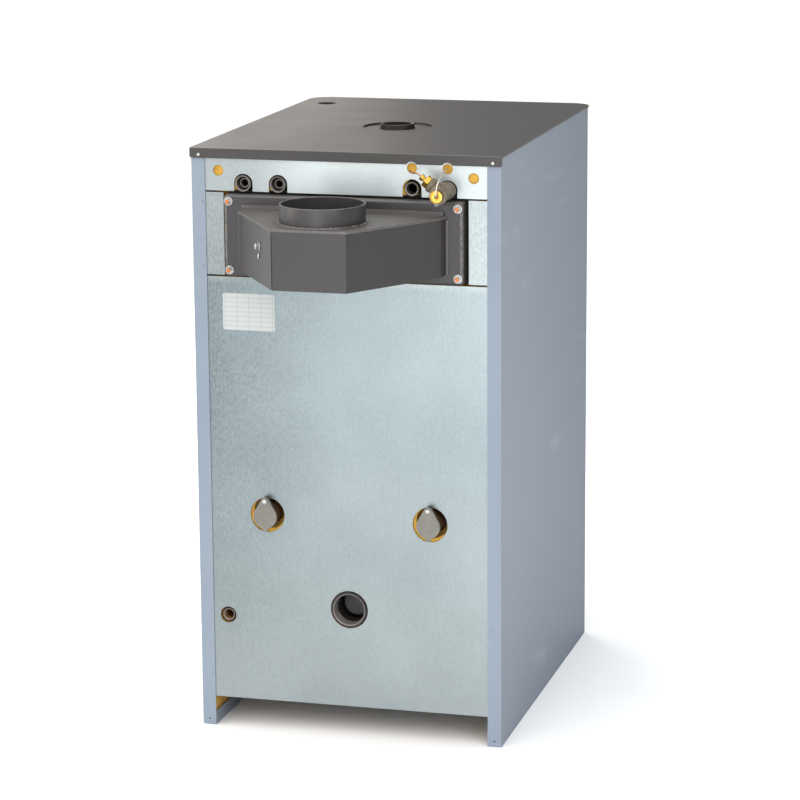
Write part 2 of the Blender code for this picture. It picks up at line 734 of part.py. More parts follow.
def rear_panels():
    """Lower panel, fillers beside the flue and upper strip, with the holes for the connections."""
    across = (-INNER_HALF_WIDTH, INNER_HALF_WIDTH)
    holes = [circle(side * AIR_X, AIR_Z, AIR_TUBE_RADIUS + AIR_HOLE_MARGIN) for side in (-1, 1)]
    holes.append(circle(0, RETURN_Z, RETURN_RADIUS + RETURN_HOLE_MARGIN))
    holes.append(circle(DRAIN_X, DRAIN_Z, DRAIN_RADIUS + DRAIN_HOLE_MARGIN))
    rear_sheet("rear_lower_panel", rectangle(across, (LOWER_PANEL_BOTTOM, BAND_BOTTOM - BAND_SEAM / 2)), holes)

    band = (BAND_BOTTOM + BAND_SEAM / 2, BAND_TOP - BAND_SEAM / 2)
    for name, side in (("rear_filler_right", 1), ("rear_filler_left", -1)):
        rear_sheet(name, rectangle((side * BAND_OPENING_WIDTH / 2, side * INNER_HALF_WIDTH), band))

    bottom = BAND_TOP + BAND_SEAM / 2
    slot = COIL_SOCKET_RADIUS + SOCKET_SLOT_MARGIN
    outline = [(across[0], bottom)]
    for x in (-SOCKET_OUTER_X, -SOCKET_INNER_X, SOCKET_INNER_X, SOCKET_OUTER_X):
        outline += [(x - slot, bottom)] + arc(x, SOCKET_Z, slot, 180, 0, 16) + [(x + slot, bottom)]
    outline += [(across[1], bottom), (across[1], INNER_TOP), (across[0], INNER_TOP)]
    holes = [circle(side * WOOL_HOLE_X, WOOL_HOLE_Z, WOOL_HOLE_RADIUS) for side in (-1, 1)]
    holes += [circle(-x, CAPILLARY_HOLE_Z, CAPILLARY_HOLE_RADIUS) for x in (SOCKET_INNER_X, SOCKET_OUTER_X)]
    rear_sheet("rear_upper_strip", outline, holes)


def front_fascia():
    """Sheet above the doors that holds the gauge."""
    across = (-INNER_HALF_WIDTH, INNER_HALF_WIDTH)
    depths = (FASCIA_DEPTH, FASCIA_DEPTH + PANEL_SHEET)
    fascia_bottom = LOADING_OPENING[1] + DOOR_LAP + FASCIA_CLEARANCE
    fascia = box("front_fascia", across, depths, (fascia_bottom, INNER_TOP), BLUE_GREY)
    cut(fascia, bore_across("fascia_gauge_hole", GAUGE_X, GAUGE_Z, GAUGE_RADIUS + FIT,
                            (depths[0] - PAST, depths[1] + PAST)))


def mineral_wool():
    """Slabs between the jacket and the casing, bored for whatever passes through."""
    rear_depths = (WOOL_DEPTH, JACKET_REAR_DEPTH - FIT)
    past = (WOOL_DEPTH - PAST, JACKET_REAR_DEPTH + PAST)
    core = (-CORE_HALF_WIDTH, CORE_HALF_WIDTH)
    rear = box("wool_rear", core, rear_depths, (JACKET_BOTTOM, INNER_TOP), WOOL)
    half_window = BAND_OPENING_WIDTH / 2
    cut(rear, box("wool_flue_window", (-half_window, half_window), past, (BAND_BOTTOM, BAND_TOP)))
    for side in (-1, 1):
        cut(rear, bore_across("wool_air_hole", side * AIR_X, AIR_Z, AIR_TUBE_RADIUS + FIT, past))
    cut(rear, bore_across("wool_return_hole", 0, RETURN_Z, RETURN_RADIUS + FIT, past),
        bore_across("wool_drain_hole", DRAIN_X, DRAIN_Z, DRAIN_RADIUS + FIT, past))
    for x, radius in upper_sockets():
        cut(rear, bore_across("wool_socket_hole", x, SOCKET_Z, radius + FIT, past))

    top_depths = (JACKET_REAR_DEPTH, JACKET_FRONT_DEPTH)
    top = box("wool_top", core, top_depths, (JACKET_TOP + FIT, INNER_TOP), WOOL)
    low, high = JACKET_TOP - PAST, CASE_HEIGHT
    cut(top, rod("wool_flow_hole", at(0, FLOW_DEPTH, low), at(0, FLOW_DEPTH, high), FLOW_RADIUS + FIT),
        rod("wool_regulator_hole", at(REGULATOR_X, REGULATOR_DEPTH, low),
            at(REGULATOR_X, REGULATOR_DEPTH, high), REGULATOR_RADIUS + FIT))
    for x, z in (COPPER_WAY, STEEL_WAY):
        way = bore_across("wool_capillary_way", x, z, CAPILLARY_RADIUS + CAPILLARY_PLAY,
                          (past[0], JACKET_FRONT_DEPTH + PAST))
        cut(rear, way)
        cut(top, way)

    side_depths = (WOOL_DEPTH, JACKET_FRONT_DEPTH)
    for name, side in (("wool_right", 1), ("wool_left", -1)):
        box(name, (side * SIDE_WOOL_INNER, side * INNER_HALF_WIDTH), side_depths,
            (SIDE_SHEET + FIT, INNER_TOP), WOOL)


# Welded boiler body


def upper_sockets():
    """Place and outer radius of the four pipes through the upper strip."""
    return [(SOCKET_OUTER_X, COIL_SOCKET_RADIUS), (SOCKET_INNER_X, COIL_SOCKET_RADIUS),
            (-SOCKET_INNER_X, SENSOR_SOCKET_RADIUS), (-SOCKET_OUTER_X, GAUGE_SOCKET_RADIUS)]


def water_jacket():
    """Outer plate box, open at the front where the front plate closes it."""
    jacket = box("water_jacket", centred(JACKET_WIDTH), (JACKET_REAR_DEPTH, JACKET_FRONT_DEPTH),
                 (JACKET_BOTTOM, JACKET_TOP), STEEL_PLATE)
    wall = JACKET_PLATE
    cut(jacket, box("jacket_inside", centred(JACKET_WIDTH - 2 * wall),
                    (JACKET_REAR_DEPTH + wall, JACKET_FRONT_DEPTH + PAST),
                    (JACKET_BOTTOM + wall, JACKET_TOP - wall)))
    past = (JACKET_REAR_DEPTH - PAST, JACKET_REAR_DEPTH + wall + PAST)
    for x, radius in upper_sockets():
        cut(jacket, bore_across("jacket_socket_hole", x, SOCKET_Z, radius + FIT, past))
    for side in (-1, 1):
        cut(jacket, bore_across("jacket_air_hole", side * AIR_X, AIR_Z, AIR_TUBE_RADIUS + FIT, past))
    low, high = JACKET_TOP - wall - PAST, JACKET_TOP + PAST
    cut(jacket, bore_across("jacket_return_hole", 0, RETURN_Z, RETURN_RADIUS + FIT, past),
        bore_across("jacket_drain_hole", DRAIN_X, DRAIN_Z, DRAIN_RADIUS + FIT, past),
        box("jacket_flue_hole", centred(DUCT_WIDTH + 2 * FIT), past,
            (FLUE_BOX_Z - DUCT_HEIGHT / 2 - FIT, FLUE_BOX_Z + DUCT_HEIGHT / 2 + FIT)),
        rod("jacket_flow_hole", at(0, FLOW_DEPTH, low), at(0, FLOW_DEPTH, high), FLOW_RADIUS + FIT),
        rod("jacket_regulator_hole", at(REGULATOR_X, REGULATOR_DEPTH, low),
            at(REGULATOR_X, REGULATOR_DEPTH, high), REGULATOR_RADIUS + FIT))


def firebox():
    """Inner plate box with grate ledges, a smoke outlet and two air inlets in its back."""
    wall = FIREBOX_PLATE
    chamber = box("firebox", centred(FIREBOX_WIDTH), (FIREBOX_REAR_DEPTH, JACKET_FRONT_DEPTH),
                  (FIREBOX_BOTTOM, FIREBOX_TOP), STEEL_PLATE)
    cut(chamber, box("firebox_inside", centred(FIREBOX_WIDTH - 2 * wall),
                     (FIREBOX_REAR_DEPTH + wall, JACKET_FRONT_DEPTH + PAST),
                     (FIREBOX_FLOOR, FIREBOX_TOP - wall)))
    past = (FIREBOX_REAR_DEPTH - PAST, FIREBOX_REAR_DEPTH + wall + PAST)
    cut(chamber, box("firebox_smoke_hole", centred(DUCT_WIDTH + 2 * FIT), past,
                     (FLUE_BOX_Z - DUCT_HEIGHT / 2 - FIT, FLUE_BOX_Z + DUCT_HEIGHT / 2 + FIT)))
    for side in (-1, 1):
        cut(chamber, bore_across("firebox_air_hole", side * AIR_X, AIR_Z, AIR_TUBE_RADIUS + FIT, past))
    ledge_top = GRATE_Z - FIT
    for side in (-1, 1):
        inner = side * (FIREBOX_INNER_HALF - LEDGE)
        outer = side * (FIREBOX_INNER_HALF + wall / 2)
        fuse(chamber, box("firebox_ledge", (inner, outer), grate_depths(),
                          (ledge_top - LEDGE, ledge_top)))


def grate_depths():
    return (FIREBOX_REAR_DEPTH + FIREBOX_PLATE + GRATE_END_MARGIN, JACKET_FRONT_DEPTH - GRATE_END_MARGIN)


def grate():
    """Cast grate with slots from front to back."""
    half = FIREBOX_INNER_HALF - GRATE_SIDE_PLAY
    depths = grate_depths()
    bed = box("grate", (-half, half), depths, (GRATE_Z, GRATE_Z + GRATE_THICKNESS), CAST_GREY)
    count = int((2 * half - 2 * GRATE_BORDER) / GRATE_SLOT_PITCH) + 1
    first = -(count - 1) / 2 * GRATE_SLOT_PITCH
    for index in range(count):
        x = first + index * GRATE_SLOT_PITCH
        cut(bed, box("grate_slot", (x - GRATE_SLOT_WIDTH / 2, x + GRATE_SLOT_WIDTH / 2),
                     (depths[0] + GRATE_BORDER, depths[1] - GRATE_BORDER),
                     (GRATE_Z - PAST, GRATE_Z + GRATE_THICKNESS + PAST)))


def ash_pan():
    """Open tray on the fire box floor."""
    width = OPENING_WIDTH - 2 * ASH_PAN_PLAY
    rear, front = grate_depths()
    rear += ASH_PAN_END_ROOM
    bottom = FIREBOX_FLOOR + FIT
    pan = box("ash_pan", centred(width), (rear, front), (bottom, bottom + ASH_PAN_HEIGHT), STEEL_PLATE)
    sheet = ASH_PAN_SHEET
    cut(pan, box("ash_pan_inside", centred(width - 2 * sheet), (rear + sheet, front - sheet),
                 (bottom + sheet, bottom + ASH_PAN_HEIGHT + PAST)))


def base_rails():
    """Two channels under the jacket, open downwards, clear of the open back."""
    depths = (JACKET_REAR_DEPTH + RAIL_SETBACK, JACKET_FRONT_DEPTH)
    for name, side in (("base_rail_right", 1), ("base_rail_left", -1)):
        middle = side * (JACKET_WIDTH / 2 - RAIL_INSET)
        outer = (middle - RAIL_WIDTH / 2, middle + RAIL_WIDTH / 2)
        rail = box(name, outer, depths, (0, JACKET_BOTTOM - FIT), STEEL_PLATE)
        cut(rail, box("rail_inside", (outer[0] + RAIL_WALL, outer[1] - RAIL_WALL),
                      (depths[0] - PAST, depths[1] + PAST),
                      (-PAST, JACKET_BOTTOM - FIT - RAIL_WALL)))


def hinge_levels(opening):
    """Lower and upper ends of a door's hinge."""
    return opening[0] - DOOR_LAP + HINGE_INSET, opening[1] + DOOR_LAP - HINGE_INSET


def barrel(name, z_range):
    return rod(name, at(HINGE_X, HINGE_DEPTH, z_range[0]), at(HINGE_X, HINGE_DEPTH, z_range[1]),
               HINGE_BARREL_RADIUS)


def door_middle(opening):
    return (opening[0] + opening[1]) / 2


def front_plate():
    """Plate that closes the jacket, with both openings, hinge lugs and latch keepers."""
    half = INNER_HALF_WIDTH
    top = JACKET_TOP + FIT
    depths = (FRONT_PLATE_DEPTH, FRONT_PLATE_FACE)
    shield = box("front_plate", (-half, half), depths, (JACKET_BOTTOM - FRONT_PLATE_DROP, top),
                 STEEL_PLATE)
    past = (depths[0] - PAST, depths[1] + PAST)
    root = FRONT_PLATE_FACE - FRONT_PLATE / 2
    for opening in (LOADING_OPENING, ASH_OPENING):
        outline = rounded_rectangle(centred(OPENING_WIDTH), opening, [OPENING_RADIUS] * 4)
        cut(shield, plate("front_opening", outline, past[1] - past[0], upright(past)))
        low, high = hinge_levels(opening)
        lugs = [(low, low + HINGE_BARREL_LENGTH), (high - HINGE_BARREL_LENGTH, high)]
        for span in lugs:
            arm = box("hinge_arm", (HINGE_X - HINGE_LEAF / 2, HINGE_X + HINGE_LEAF / 2),
                      (root, HINGE_DEPTH), span)
            fuse(shield, arm, barrel("hinge_lug", span))
        for span in lugs:
            cut(shield, rod("hinge_lug_bore", at(HINGE_X, HINGE_DEPTH, span[0] - PAST),
                            at(HINGE_X, HINGE_DEPTH, span[1] + PAST), HINGE_ROD_RADIUS + FIT))
        fuse(shield, *keeper(door_middle(opening), root))


def tongue_depths():
    ear_back = DOOR_FACE - LATCH_EAR_THICKNESS
    return (ear_back - TONGUE_PLAY - TONGUE_THICKNESS, ear_back - TONGUE_PLAY)


def keeper(z, root):
    """Hooked lip that the latch tongue turns in behind."""
    z_range = (z - KEEPER_HEIGHT / 2, z + KEEPER_HEIGHT / 2)
    lip_inner = LATCH_X + LATCH_EAR_MARGIN + KEEPER_GAP
    post_inner = LATCH_X + math.hypot(TONGUE_LENGTH, TONGUE_WIDTH / 2) + FIT
    lip_back = tongue_depths()[1] + KEEPER_PLAY
    post = box("keeper_post", (post_inner, post_inner + KEEPER_POST), (root, lip_back + KEEPER_LIP),
               z_range)
    lip = box("keeper_lip", (lip_inner, post_inner + KEEPER_POST / 2), (lip_back, lip_back + KEEPER_LIP),
              (z_range[0] + FIT, z_range[1] - FIT))
    return post, lip


# Doors


def door(name, opening):
    """Pressed steel pan with hinge knuckles and a latch ear."""
    z_range = (opening[0] - DOOR_LAP, opening[1] + DOOR_LAP)
    pan = box(name, centred(DOOR_WIDTH), (DOOR_BACK, DOOR_FACE), z_range, ANTHRACITE)
    bevel(pan, DOOR_EDGE_RADIUS)
    inner = (DOOR_WIDTH - 2 * DOOR_SKIN - 2 * DOOR_EDGE_RADIUS)
    inset = DOOR_SKIN + DOOR_EDGE_RADIUS
    cut(pan, box(name + "_hollow", centred(inner), (DOOR_BACK - PAST, DOOR_FACE - DOOR_SKIN),
                 (z_range[0] + inset, z_range[1] - inset)))
    low, high = hinge_levels(opening)
    step = HINGE_BARREL_LENGTH + FIT
    spans = [(low + step, low + step + HINGE_BARREL_LENGTH), (high - step - HINGE_BARREL_LENGTH,
                                                              high - step)]
    for span in spans:
        leaf = box(name + "_leaf", (HINGE_X, -DOOR_WIDTH / 2 + DOOR_SKIN),
                   (HINGE_DEPTH - HINGE_LEAF / 2, HINGE_DEPTH + HINGE_LEAF / 2), span)
        fuse(pan, leaf, barrel(name + "_knuckle", span))
        cut(pan, rod(name + "_knuckle_bore", at(HINGE_X, HINGE_DEPTH, span[0] - PAST),
                     at(HINGE_X, HINGE_DEPTH, span[1] + PAST), HINGE_ROD_RADIUS + FIT))
    z = door_middle(opening)
    ear = box(name + "_ear", (DOOR_WIDTH / 2 - DOOR_SKIN, LATCH_X + LATCH_EAR_MARGIN),
              (DOOR_FACE - LATCH_EAR_THICKNESS, DOOR_FACE - DOOR_EDGE_RADIUS),
              (z - LATCH_EAR_HEIGHT / 2, z + LATCH_EAR_HEIGHT / 2))
    fuse(pan, ear)
    cut(pan, bore_across(name + "_spindle_bore", LATCH_X, z, SPINDLE_RADIUS + FIT,
                         (DOOR_BACK, DOOR_FACE + PAST)))
    return pivot_at(pan, at(HINGE_X, HINGE_DEPTH, z))


def door_liner(name, opening):
    """Insulating block in the pan, stepped to plug the opening."""
    inset = DOOR_SKIN + DOOR_EDGE_RADIUS + FIT
    z_range = (opening[0] - DOOR_LAP + inset, opening[1] + DOOR_LAP - inset)
    half = DOOR_WIDTH / 2 - inset
    seat = DOOR_BACK + DOOR_GAP
    liner = box(name, (-half, half), (seat, DOOR_FACE - DOOR_SKIN - FIT), z_range, LINER)
    plug_half = OPENING_WIDTH / 2 - PLUG_CLEARANCE
    plug = box(name + "_plug", (-plug_half, plug_half),
               (FRONT_PLATE_FACE - PLUG_LENGTH, seat + DOOR_SKIN),
               (opening[0] + PLUG_CLEARANCE, opening[1] - PLUG_CLEARANCE))
    fuse(liner, plug)
    return pivot_at(liner, at(HINGE_X, HINGE_DEPTH, door_middle(opening)))


def hinge_rod(name, opening):
    """Headed rod dropped through both lugs and both knuckles."""
    low, high = hinge_levels(opening)
    rod_top = high + FIT
    length = rod_top - low + HINGE_ROD_HEAD
    profile = [(0, length + HINGE_ROD_HEAD), (HINGE_BARREL_RADIUS, length + HINGE_ROD_HEAD),
               (HINGE_BARREL_RADIUS, length), (HINGE_ROD_RADIUS, length), (HINGE_ROD_RADIUS, 0), (0, 0)]
    turned(name, profile, at(HINGE_X, HINGE_DEPTH, low - HINGE_ROD_HEAD), (0, 0, 1), BRIGHT_STEEL)


def latch_handle(name, opening):
    """Spindle with a latch tongue behind the ear and a lever with a round grip in front."""
    z = door_middle(opening)
    back, front = tongue_depths()
    lever_depth = DOOR_FACE + LEVER_STANDOFF
    handle = rod(name, at(LATCH_X, back + FIT, z), at(LATCH_X, lever_depth, z), SPINDLE_RADIUS,
                 BLACK_GRIP)
    half = TONGUE_WIDTH / 2
    tongue = box(name + "_tongue", (LATCH_X - half, LATCH_X + half), (back, front),
                 (z - TONGUE_LENGTH, z + half))
    collar = rod(name + "_collar", at(LATCH_X, DOOR_FACE + FIT, z),
                 at(LATCH_X, lever_depth + LEVER_RADIUS, z), SPINDLE_RADIUS + DOOR_SKIN)
    lever_end = LATCH_X - LEVER_LENGTH
    grip_tip = DOOR_FACE + HANDLE_REACH
    lever = rod(name + "_lever", at(LATCH_X, lever_depth, z), at(lever_end, lever_depth, z), LEVER_RADIUS)
    grip = rod(name + "_grip", at(lever_end, DOOR_FACE + GRIP_CLEARANCE, z), at(lever_end, grip_tip, z),
               GRIP_RADIUS)
    fuse(handle, tongue, collar, lever, grip)
    return pivot_at(handle, at(LATCH_X, lever_depth, z))


def air_opening_levels():
    bottom = ASH_OPENING[0] - DOOR_LAP + AIR_OPENING_RISE
    return bottom, bottom + AIR_OPENING_HEIGHT


def air_flap_axis():
    """Height and depth of the primary air flap's pin."""
    top = air_opening_levels()[1] + AIR_FLAP_LAP
    return top + AIR_BARREL_RADIUS, DOOR_FACE + AIR_BARREL_RADIUS + FIT


def ash_door_air_inlet(pan, liner):
    """Air opening through the ash door and the ears of its flap."""
    levels = air_opening_levels()
    opening = box("ash_air_opening", centred(AIR_OPENING_WIDTH),
                  (FRONT_PLATE_FACE - PLUG_LENGTH - PAST, DOOR_FACE + PAST), levels)
    cut(pan, opening)
    cut(liner, opening)
    z, depth = air_flap_axis()
    inner = AIR_OPENING_WIDTH / 2 + AIR_FLAP_LAP + FIT
    for side in (-1, 1):
        span = (side * inner, side * (inner + AIR_EAR))
        ear = rod("air_ear", at(span[0], depth, z), at(span[1], depth, z), AIR_BARREL_RADIUS)
        foot = box("air_ear_foot", span, (DOOR_FACE - DOOR_SKIN / 2, depth),
                   (z - AIR_BARREL_RADIUS + FIT, z + AIR_BARREL_RADIUS - FIT))
        fuse(pan, foot, ear)
    reach = inner + AIR_EAR + PAST
    cut(pan, rod("air_ear_bore", at(-reach, depth, z), at(reach, depth, z), AIR_PIN_RADIUS + FIT))


def air_flap():
    """Hanging flap over the ash door's air opening, with an eye for the regulator chain."""
    levels = air_opening_levels()
    z, depth = air_flap_axis()
    half = AIR_OPENING_WIDTH / 2 + AIR_FLAP_LAP
    back = DOOR_FACE + FIT
    flap = box("air_flap", (-half, half), (back, back + AIR_FLAP_THICKNESS),
               (levels[0] - AIR_FLAP_LAP, z), ANTHRACITE)
    roll = rod("air_flap_roll", at(-half, depth, z), at(half, depth, z), AIR_BARREL_RADIUS)
    eye_depth = back + AIR_FLAP_THICKNESS + CHAIN_EYE_RADIUS
    eye_z = levels[0] + CHAIN_EYE_RADIUS
    eye_half = CHAIN_EYE_BORE / 2
    eye = rod("chain_eye", at(-eye_half, eye_depth, eye_z), at(eye_half, eye_depth, eye_z), CHAIN_EYE_RADIUS)
    stem = box("chain_eye_stem", (-eye_half + FIT / 2, eye_half - FIT / 2),
               (back + AIR_FLAP_THICKNESS / 2, eye_depth),
               (eye_z - CHAIN_EYE_RADIUS + FIT, eye_z + CHAIN_EYE_RADIUS - FIT))
    fuse(flap, roll, stem, eye)
    cut(flap, rod("air_flap_bore", at(-half - PAST, depth, z), at(half + PAST, depth, z),
                  AIR_PIN_RADIUS + FIT),
        rod("chain_eye_bore", at(-PAST, eye_depth, eye_z), at(PAST, eye_depth, eye_z), CHAIN_EYE_BORE))
    pivot_at(flap, at(0, depth, z))
    pin_half = half + FIT + AIR_EAR
    rod("air_flap_pin", at(-pin_half, depth, z), at(pin_half, depth, z), AIR_PIN_RADIUS, BRIGHT_STEEL)


def gauge():
    """Round combined gauge in the fascia: case, bezel and a recessed dial."""
    bezel_face = GAUGE_BODY + GAUGE_BEZEL
    dial = bezel_face - GAUGE_GLASS_RECESS
    profile = [(0, dial), (GAUGE_GLASS_RADIUS, dial), (GAUGE_GLASS_RADIUS, bezel_face),
               (GAUGE_BEZEL_RADIUS, bezel_face), (GAUGE_BEZEL_RADIUS, GAUGE_BODY + FIT),
               (GAUGE_RADIUS, GAUGE_BODY + FIT), (GAUGE_RADIUS, 0), (0, 0)]
    back = FASCIA_DEPTH + PANEL_SHEET - GAUGE_BODY
    turned("thermo_gauge", profile, at(GAUGE_X, back, GAUGE_Z), (0, -1, 0), DIAL)


# Flue outlet


def flue_plan(inset):
    """Six-sided plan of the welded flue box, drawn in x and y, set in by the sheet."""
    root = REAR_Y - PAN_BACK + FLUE_PAN_DEPTH / 2
    neck = FLUE_NECK_WIDTH / 2 - inset
    knee = FLUE_KNEE_WIDTH / 2 - inset
    slope = math.atan2(FLUE_BOX_REACH - FLUE_KNEE_REACH, (FLUE_KNEE_WIDTH - FLUE_FRONT_WIDTH) / 2)
    front = FLUE_FRONT_WIDTH / 2 - inset * math.tan(slope / 2)
    face = REAR_Y + FLUE_FACE
    knee_y = face + FLUE_KNEE_REACH
    front_y = face + FLUE_BOX_REACH - inset
    return [(-neck, root), (neck, root), (knee, knee_y), (front, front_y), (-front, front_y), (-knee, knee_y)]


def flue_box():
    """Welded sheet box on a pan-shaped flange, open to the smoke duct and to the collar."""
    pan_z = (FLUE_Z - FLUE_PAN_HEIGHT / 2, FLUE_Z + FLUE_PAN_HEIGHT / 2)
    casing = box("flue_box", centred(FLUE_PAN_WIDTH), (PAN_BACK, -FLUE_FACE), pan_z, FLUE_BLACK)
    bevel(casing, FLUE_PAN_RADIUS, 3)
    outside_z = (FLUE_BOX_BOTTOM, FLUE_BOX_TOP)
    fuse(casing, plate("flue_box_outside", flue_plan(0), outside_z[1] - outside_z[0], level(outside_z)))
    ridge = FLUE_NECK_WIDTH / 2 - FLUE_RIDGE_SET_IN
    fuse(casing, box("flue_ridge", (-ridge, ridge), (-FLUE_FACE + FLUE_SHEET / 2, -FLUE_FACE - FLUE_RIDGE_PROUD),
                     (FLUE_BOX_TOP - FLUE_SHEET / 2, FLUE_BOX_TOP + FLUE_RIDGE_HEIGHT)))
    sheet = FLUE_SHEET + FLUE_PAN_RADIUS
    cut(casing, box("flue_pan_inside", centred(FLUE_PAN_WIDTH - 2 * sheet),
                    (PAN_BACK + PAST, -FLUE_FACE + FLUE_SHEET), (pan_z[0] + sheet, pan_z[1] - sheet)))
    inside_z = (FLUE_BOX_BOTTOM + FLUE_SHEET, FLUE_BOX_TOP - FLUE_SHEET)
    cut(casing, plate("flue_box_inside", flue_plan(FLUE_SHEET), inside_z[1] - inside_z[0], level(inside_z)))
    collar = collar_centre()
    cut(casing, rod("flue_outlet_hole", collar - Vector((0, 0, PAST)), collar + Vector((0, 0, PAST)),
                    COLLAR_RADIUS - COLLAR_SHEET))
    for x, z in stud_places():
        cut(casing, bore_across("flue_stud_hole", x, z, STUD_RADIUS + FIT,
                                (PAN_BACK + PAST, -FLUE_FACE - PAST)))
    start, outward = test_plug_place()
    cut(casing, rod("flue_test_hole", start - outward * PAST, start + outward * PAST, TEST_PLUG_RADIUS + FIT))


def collar_centre():
    return Vector((0, REAR_Y + FLUE_FACE + COLLAR_REACH, FLUE_BOX_TOP))


def flue_collar():
    """Round spigot welded over the hole in the top of the flue box."""
    start = collar_centre() + Vector((0, 0, FIT))
    pipe_top = collar_centre() + Vector((0, 0, COLLAR_HEIGHT))
    length = (pipe_top - start).length
    inner = COLLAR_RADIUS - COLLAR_SHEET
    profile = [(COLLAR_RADIUS, length), (COLLAR_RADIUS, 0), (inner, 0), (inner, length)]
    turned("flue_collar", profile, start, (0, 0, 1), FLUE_BLACK)


def stud_places():
    return [(side * STUD_X, FLUE_Z + rise * STUD_SPACING_Z / 2) for side in (-1, 1) for rise in (-1, 1)]


def flue_gasket_and_duct():
    """Fibre gasket and the welded smoke duct that the flue box is bolted to."""
    pan_z = (FLUE_Z - FLUE_PAN_HEIGHT / 2, FLUE_Z + FLUE_PAN_HEIGHT / 2)
    depths = (GASKET_DEPTH, GASKET_DEPTH + GASKET)
    past = (GASKET_DEPTH - PAST, DUCT_DEPTH + DUCT_FLANGE + PAST)
    gasket = box("flue_gasket", centred(FLUE_PAN_WIDTH), depths, pan_z, GASKET_FIBRE)
    cut(gasket, box("gasket_window", centred(FLUE_PAN_WIDTH - 2 * GASKET_WIDTH), past,
                    (pan_z[0] + GASKET_WIDTH, pan_z[1] - GASKET_WIDTH)))
    duct_end = FIREBOX_REAR_DEPTH + FIREBOX_PLATE - FIT
    duct_z = (FLUE_BOX_Z - DUCT_HEIGHT / 2, FLUE_BOX_Z + DUCT_HEIGHT / 2)
    duct = box("smoke_duct", centred(DUCT_WIDTH), (DUCT_DEPTH + DUCT_FLANGE / 2, duct_end), duct_z,
               STEEL_PLATE)
    fuse(duct, box("duct_flange", centred(FLUE_PAN_WIDTH), (DUCT_DEPTH, DUCT_DEPTH + DUCT_FLANGE), pan_z))
    cut(duct, box("duct_inside", centred(DUCT_WIDTH - 2 * DUCT_PLATE), (DUCT_DEPTH - PAST, duct_end + PAST),
                  (duct_z[0] + DUCT_PLATE, duct_z[1] - DUCT_PLATE)))
    for x, z in stud_places():
        hole = bore_across("duct_stud_hole", x, z, STUD_RADIUS + FIT, past)
        cut(gasket, hole)
        cut(duct, hole)


def flue_studs():
    """Stud with its washer and nut tightened on the flange of the flue box."""
    names = ("flue_stud_left_lower", "flue_stud_left_upper", "flue_stud_right_lower", "flue_stud_right_upper")
    seat = -FLUE_FACE - FIT
    for name, (x, z) in zip(names, stud_places()):
        stud = rod(name, at(x, DUCT_DEPTH + DUCT_FLANGE, z), at(x, -FLUE_FACE - STUD_END, z), STUD_RADIUS,
                   BRIGHT_STEEL)
        washer = rod(name + "_washer", at(x, seat, z), at(x, seat - WASHER, z), WASHER_RADIUS)
        nut = rod(name + "_nut", at(x, seat - WASHER / 2, z), at(x, seat - WASHER - NUT, z), NUT_RADIUS,
                  sides=6)
        fuse(stud, washer, nut)


def test_plug_place():
    """Point on the oblique wall of the flue box, and that wall's outward normal."""
    knee = Vector((FLUE_KNEE_WIDTH / 2, REAR_Y + FLUE_FACE + FLUE_KNEE_REACH, 0))
    front = Vector((FLUE_FRONT_WIDTH / 2, REAR_Y + FLUE_FACE + FLUE_BOX_REACH, 0))
    along = (front - knee).normalized()
    outward = Vector((along.y, -along.x, 0))
    point = knee + along * TEST_PLUG_ALONG
    point.z = FLUE_BOX_Z + TEST_PLUG_UP
    return point, outward


def flue_test_plug():
    """Hexagon plug in the flue gas test hole."""
    point, outward = test_plug_place()
    plug = rod("flue_test_plug", point - outward * FLUE_SHEET, point + outward * TEST_PLUG_HEAD,
               TEST_PLUG_RADIUS, BRIGHT_STEEL)
    seat = point + outward * FIT
    washer = rod("test_plug_washer", seat, seat + outward * WASHER, TEST_PLUG_WASHER_RADIUS)
    head = rod("test_plug_head", seat + outward * WASHER / 2, seat + outward * (WASHER + TEST_PLUG_HEAD),
               TEST_PLUG_HEAD_RADIUS, sides=6)
    fuse(plug, washer, head)


# Pipe connections


def pipe_sockets():
    """Screwed sockets welded into the jacket, flush with the back of the casing."""
    length = SOCKET_INNER_DEPTH
    plain = [("coil_socket_outer", SOCKET_OUTER_X, SOCKET_Z, COIL_SOCKET_RADIUS, COIL_SOCKET_BORE, 0),
             ("coil_socket_inner", SOCKET_INNER_X, SOCKET_Z, COIL_SOCKET_RADIUS, COIL_SOCKET_BORE, 0),
             ("sensor_socket", -SOCKET_INNER_X, SOCKET_Z, SENSOR_SOCKET_RADIUS, SENSOR_SOCKET_BORE, 0),
             ("gauge_socket", -SOCKET_OUTER_X, SOCKET_Z, GAUGE_SOCKET_RADIUS, GAUGE_SOCKET_BORE, 0),
             ("return_socket", 0, RETURN_Z, RETURN_RADIUS, RETURN_BORE, 0),
             ("drain_socket", DRAIN_X, DRAIN_Z, DRAIN_RADIUS, DRAIN_BORE, DRAIN_SUNK)]
    for name, x, z, radius, bore, sunk in plain:
        pipe(name, radius, bore, at(x, length, z), at(x, sunk, z), PIPE_IRON)
    root = JACKET_TOP - JACKET_PLATE - SOCKET_TAIL
    pipe("flow_socket", FLOW_RADIUS, FLOW_BORE, at(0, FLOW_DEPTH, root),
         at(0, FLOW_DEPTH, COVER_TOP + FLOW_STANDS), PIPE_IRON)
    pipe("regulator_socket", REGULATOR_RADIUS, REGULATOR_BORE, at(REGULATOR_X, REGULATOR_DEPTH, root),
         at(REGULATOR_X, REGULATOR_DEPTH, COVER_TOP - REGULATOR_SUNK), PIPE_IRON)


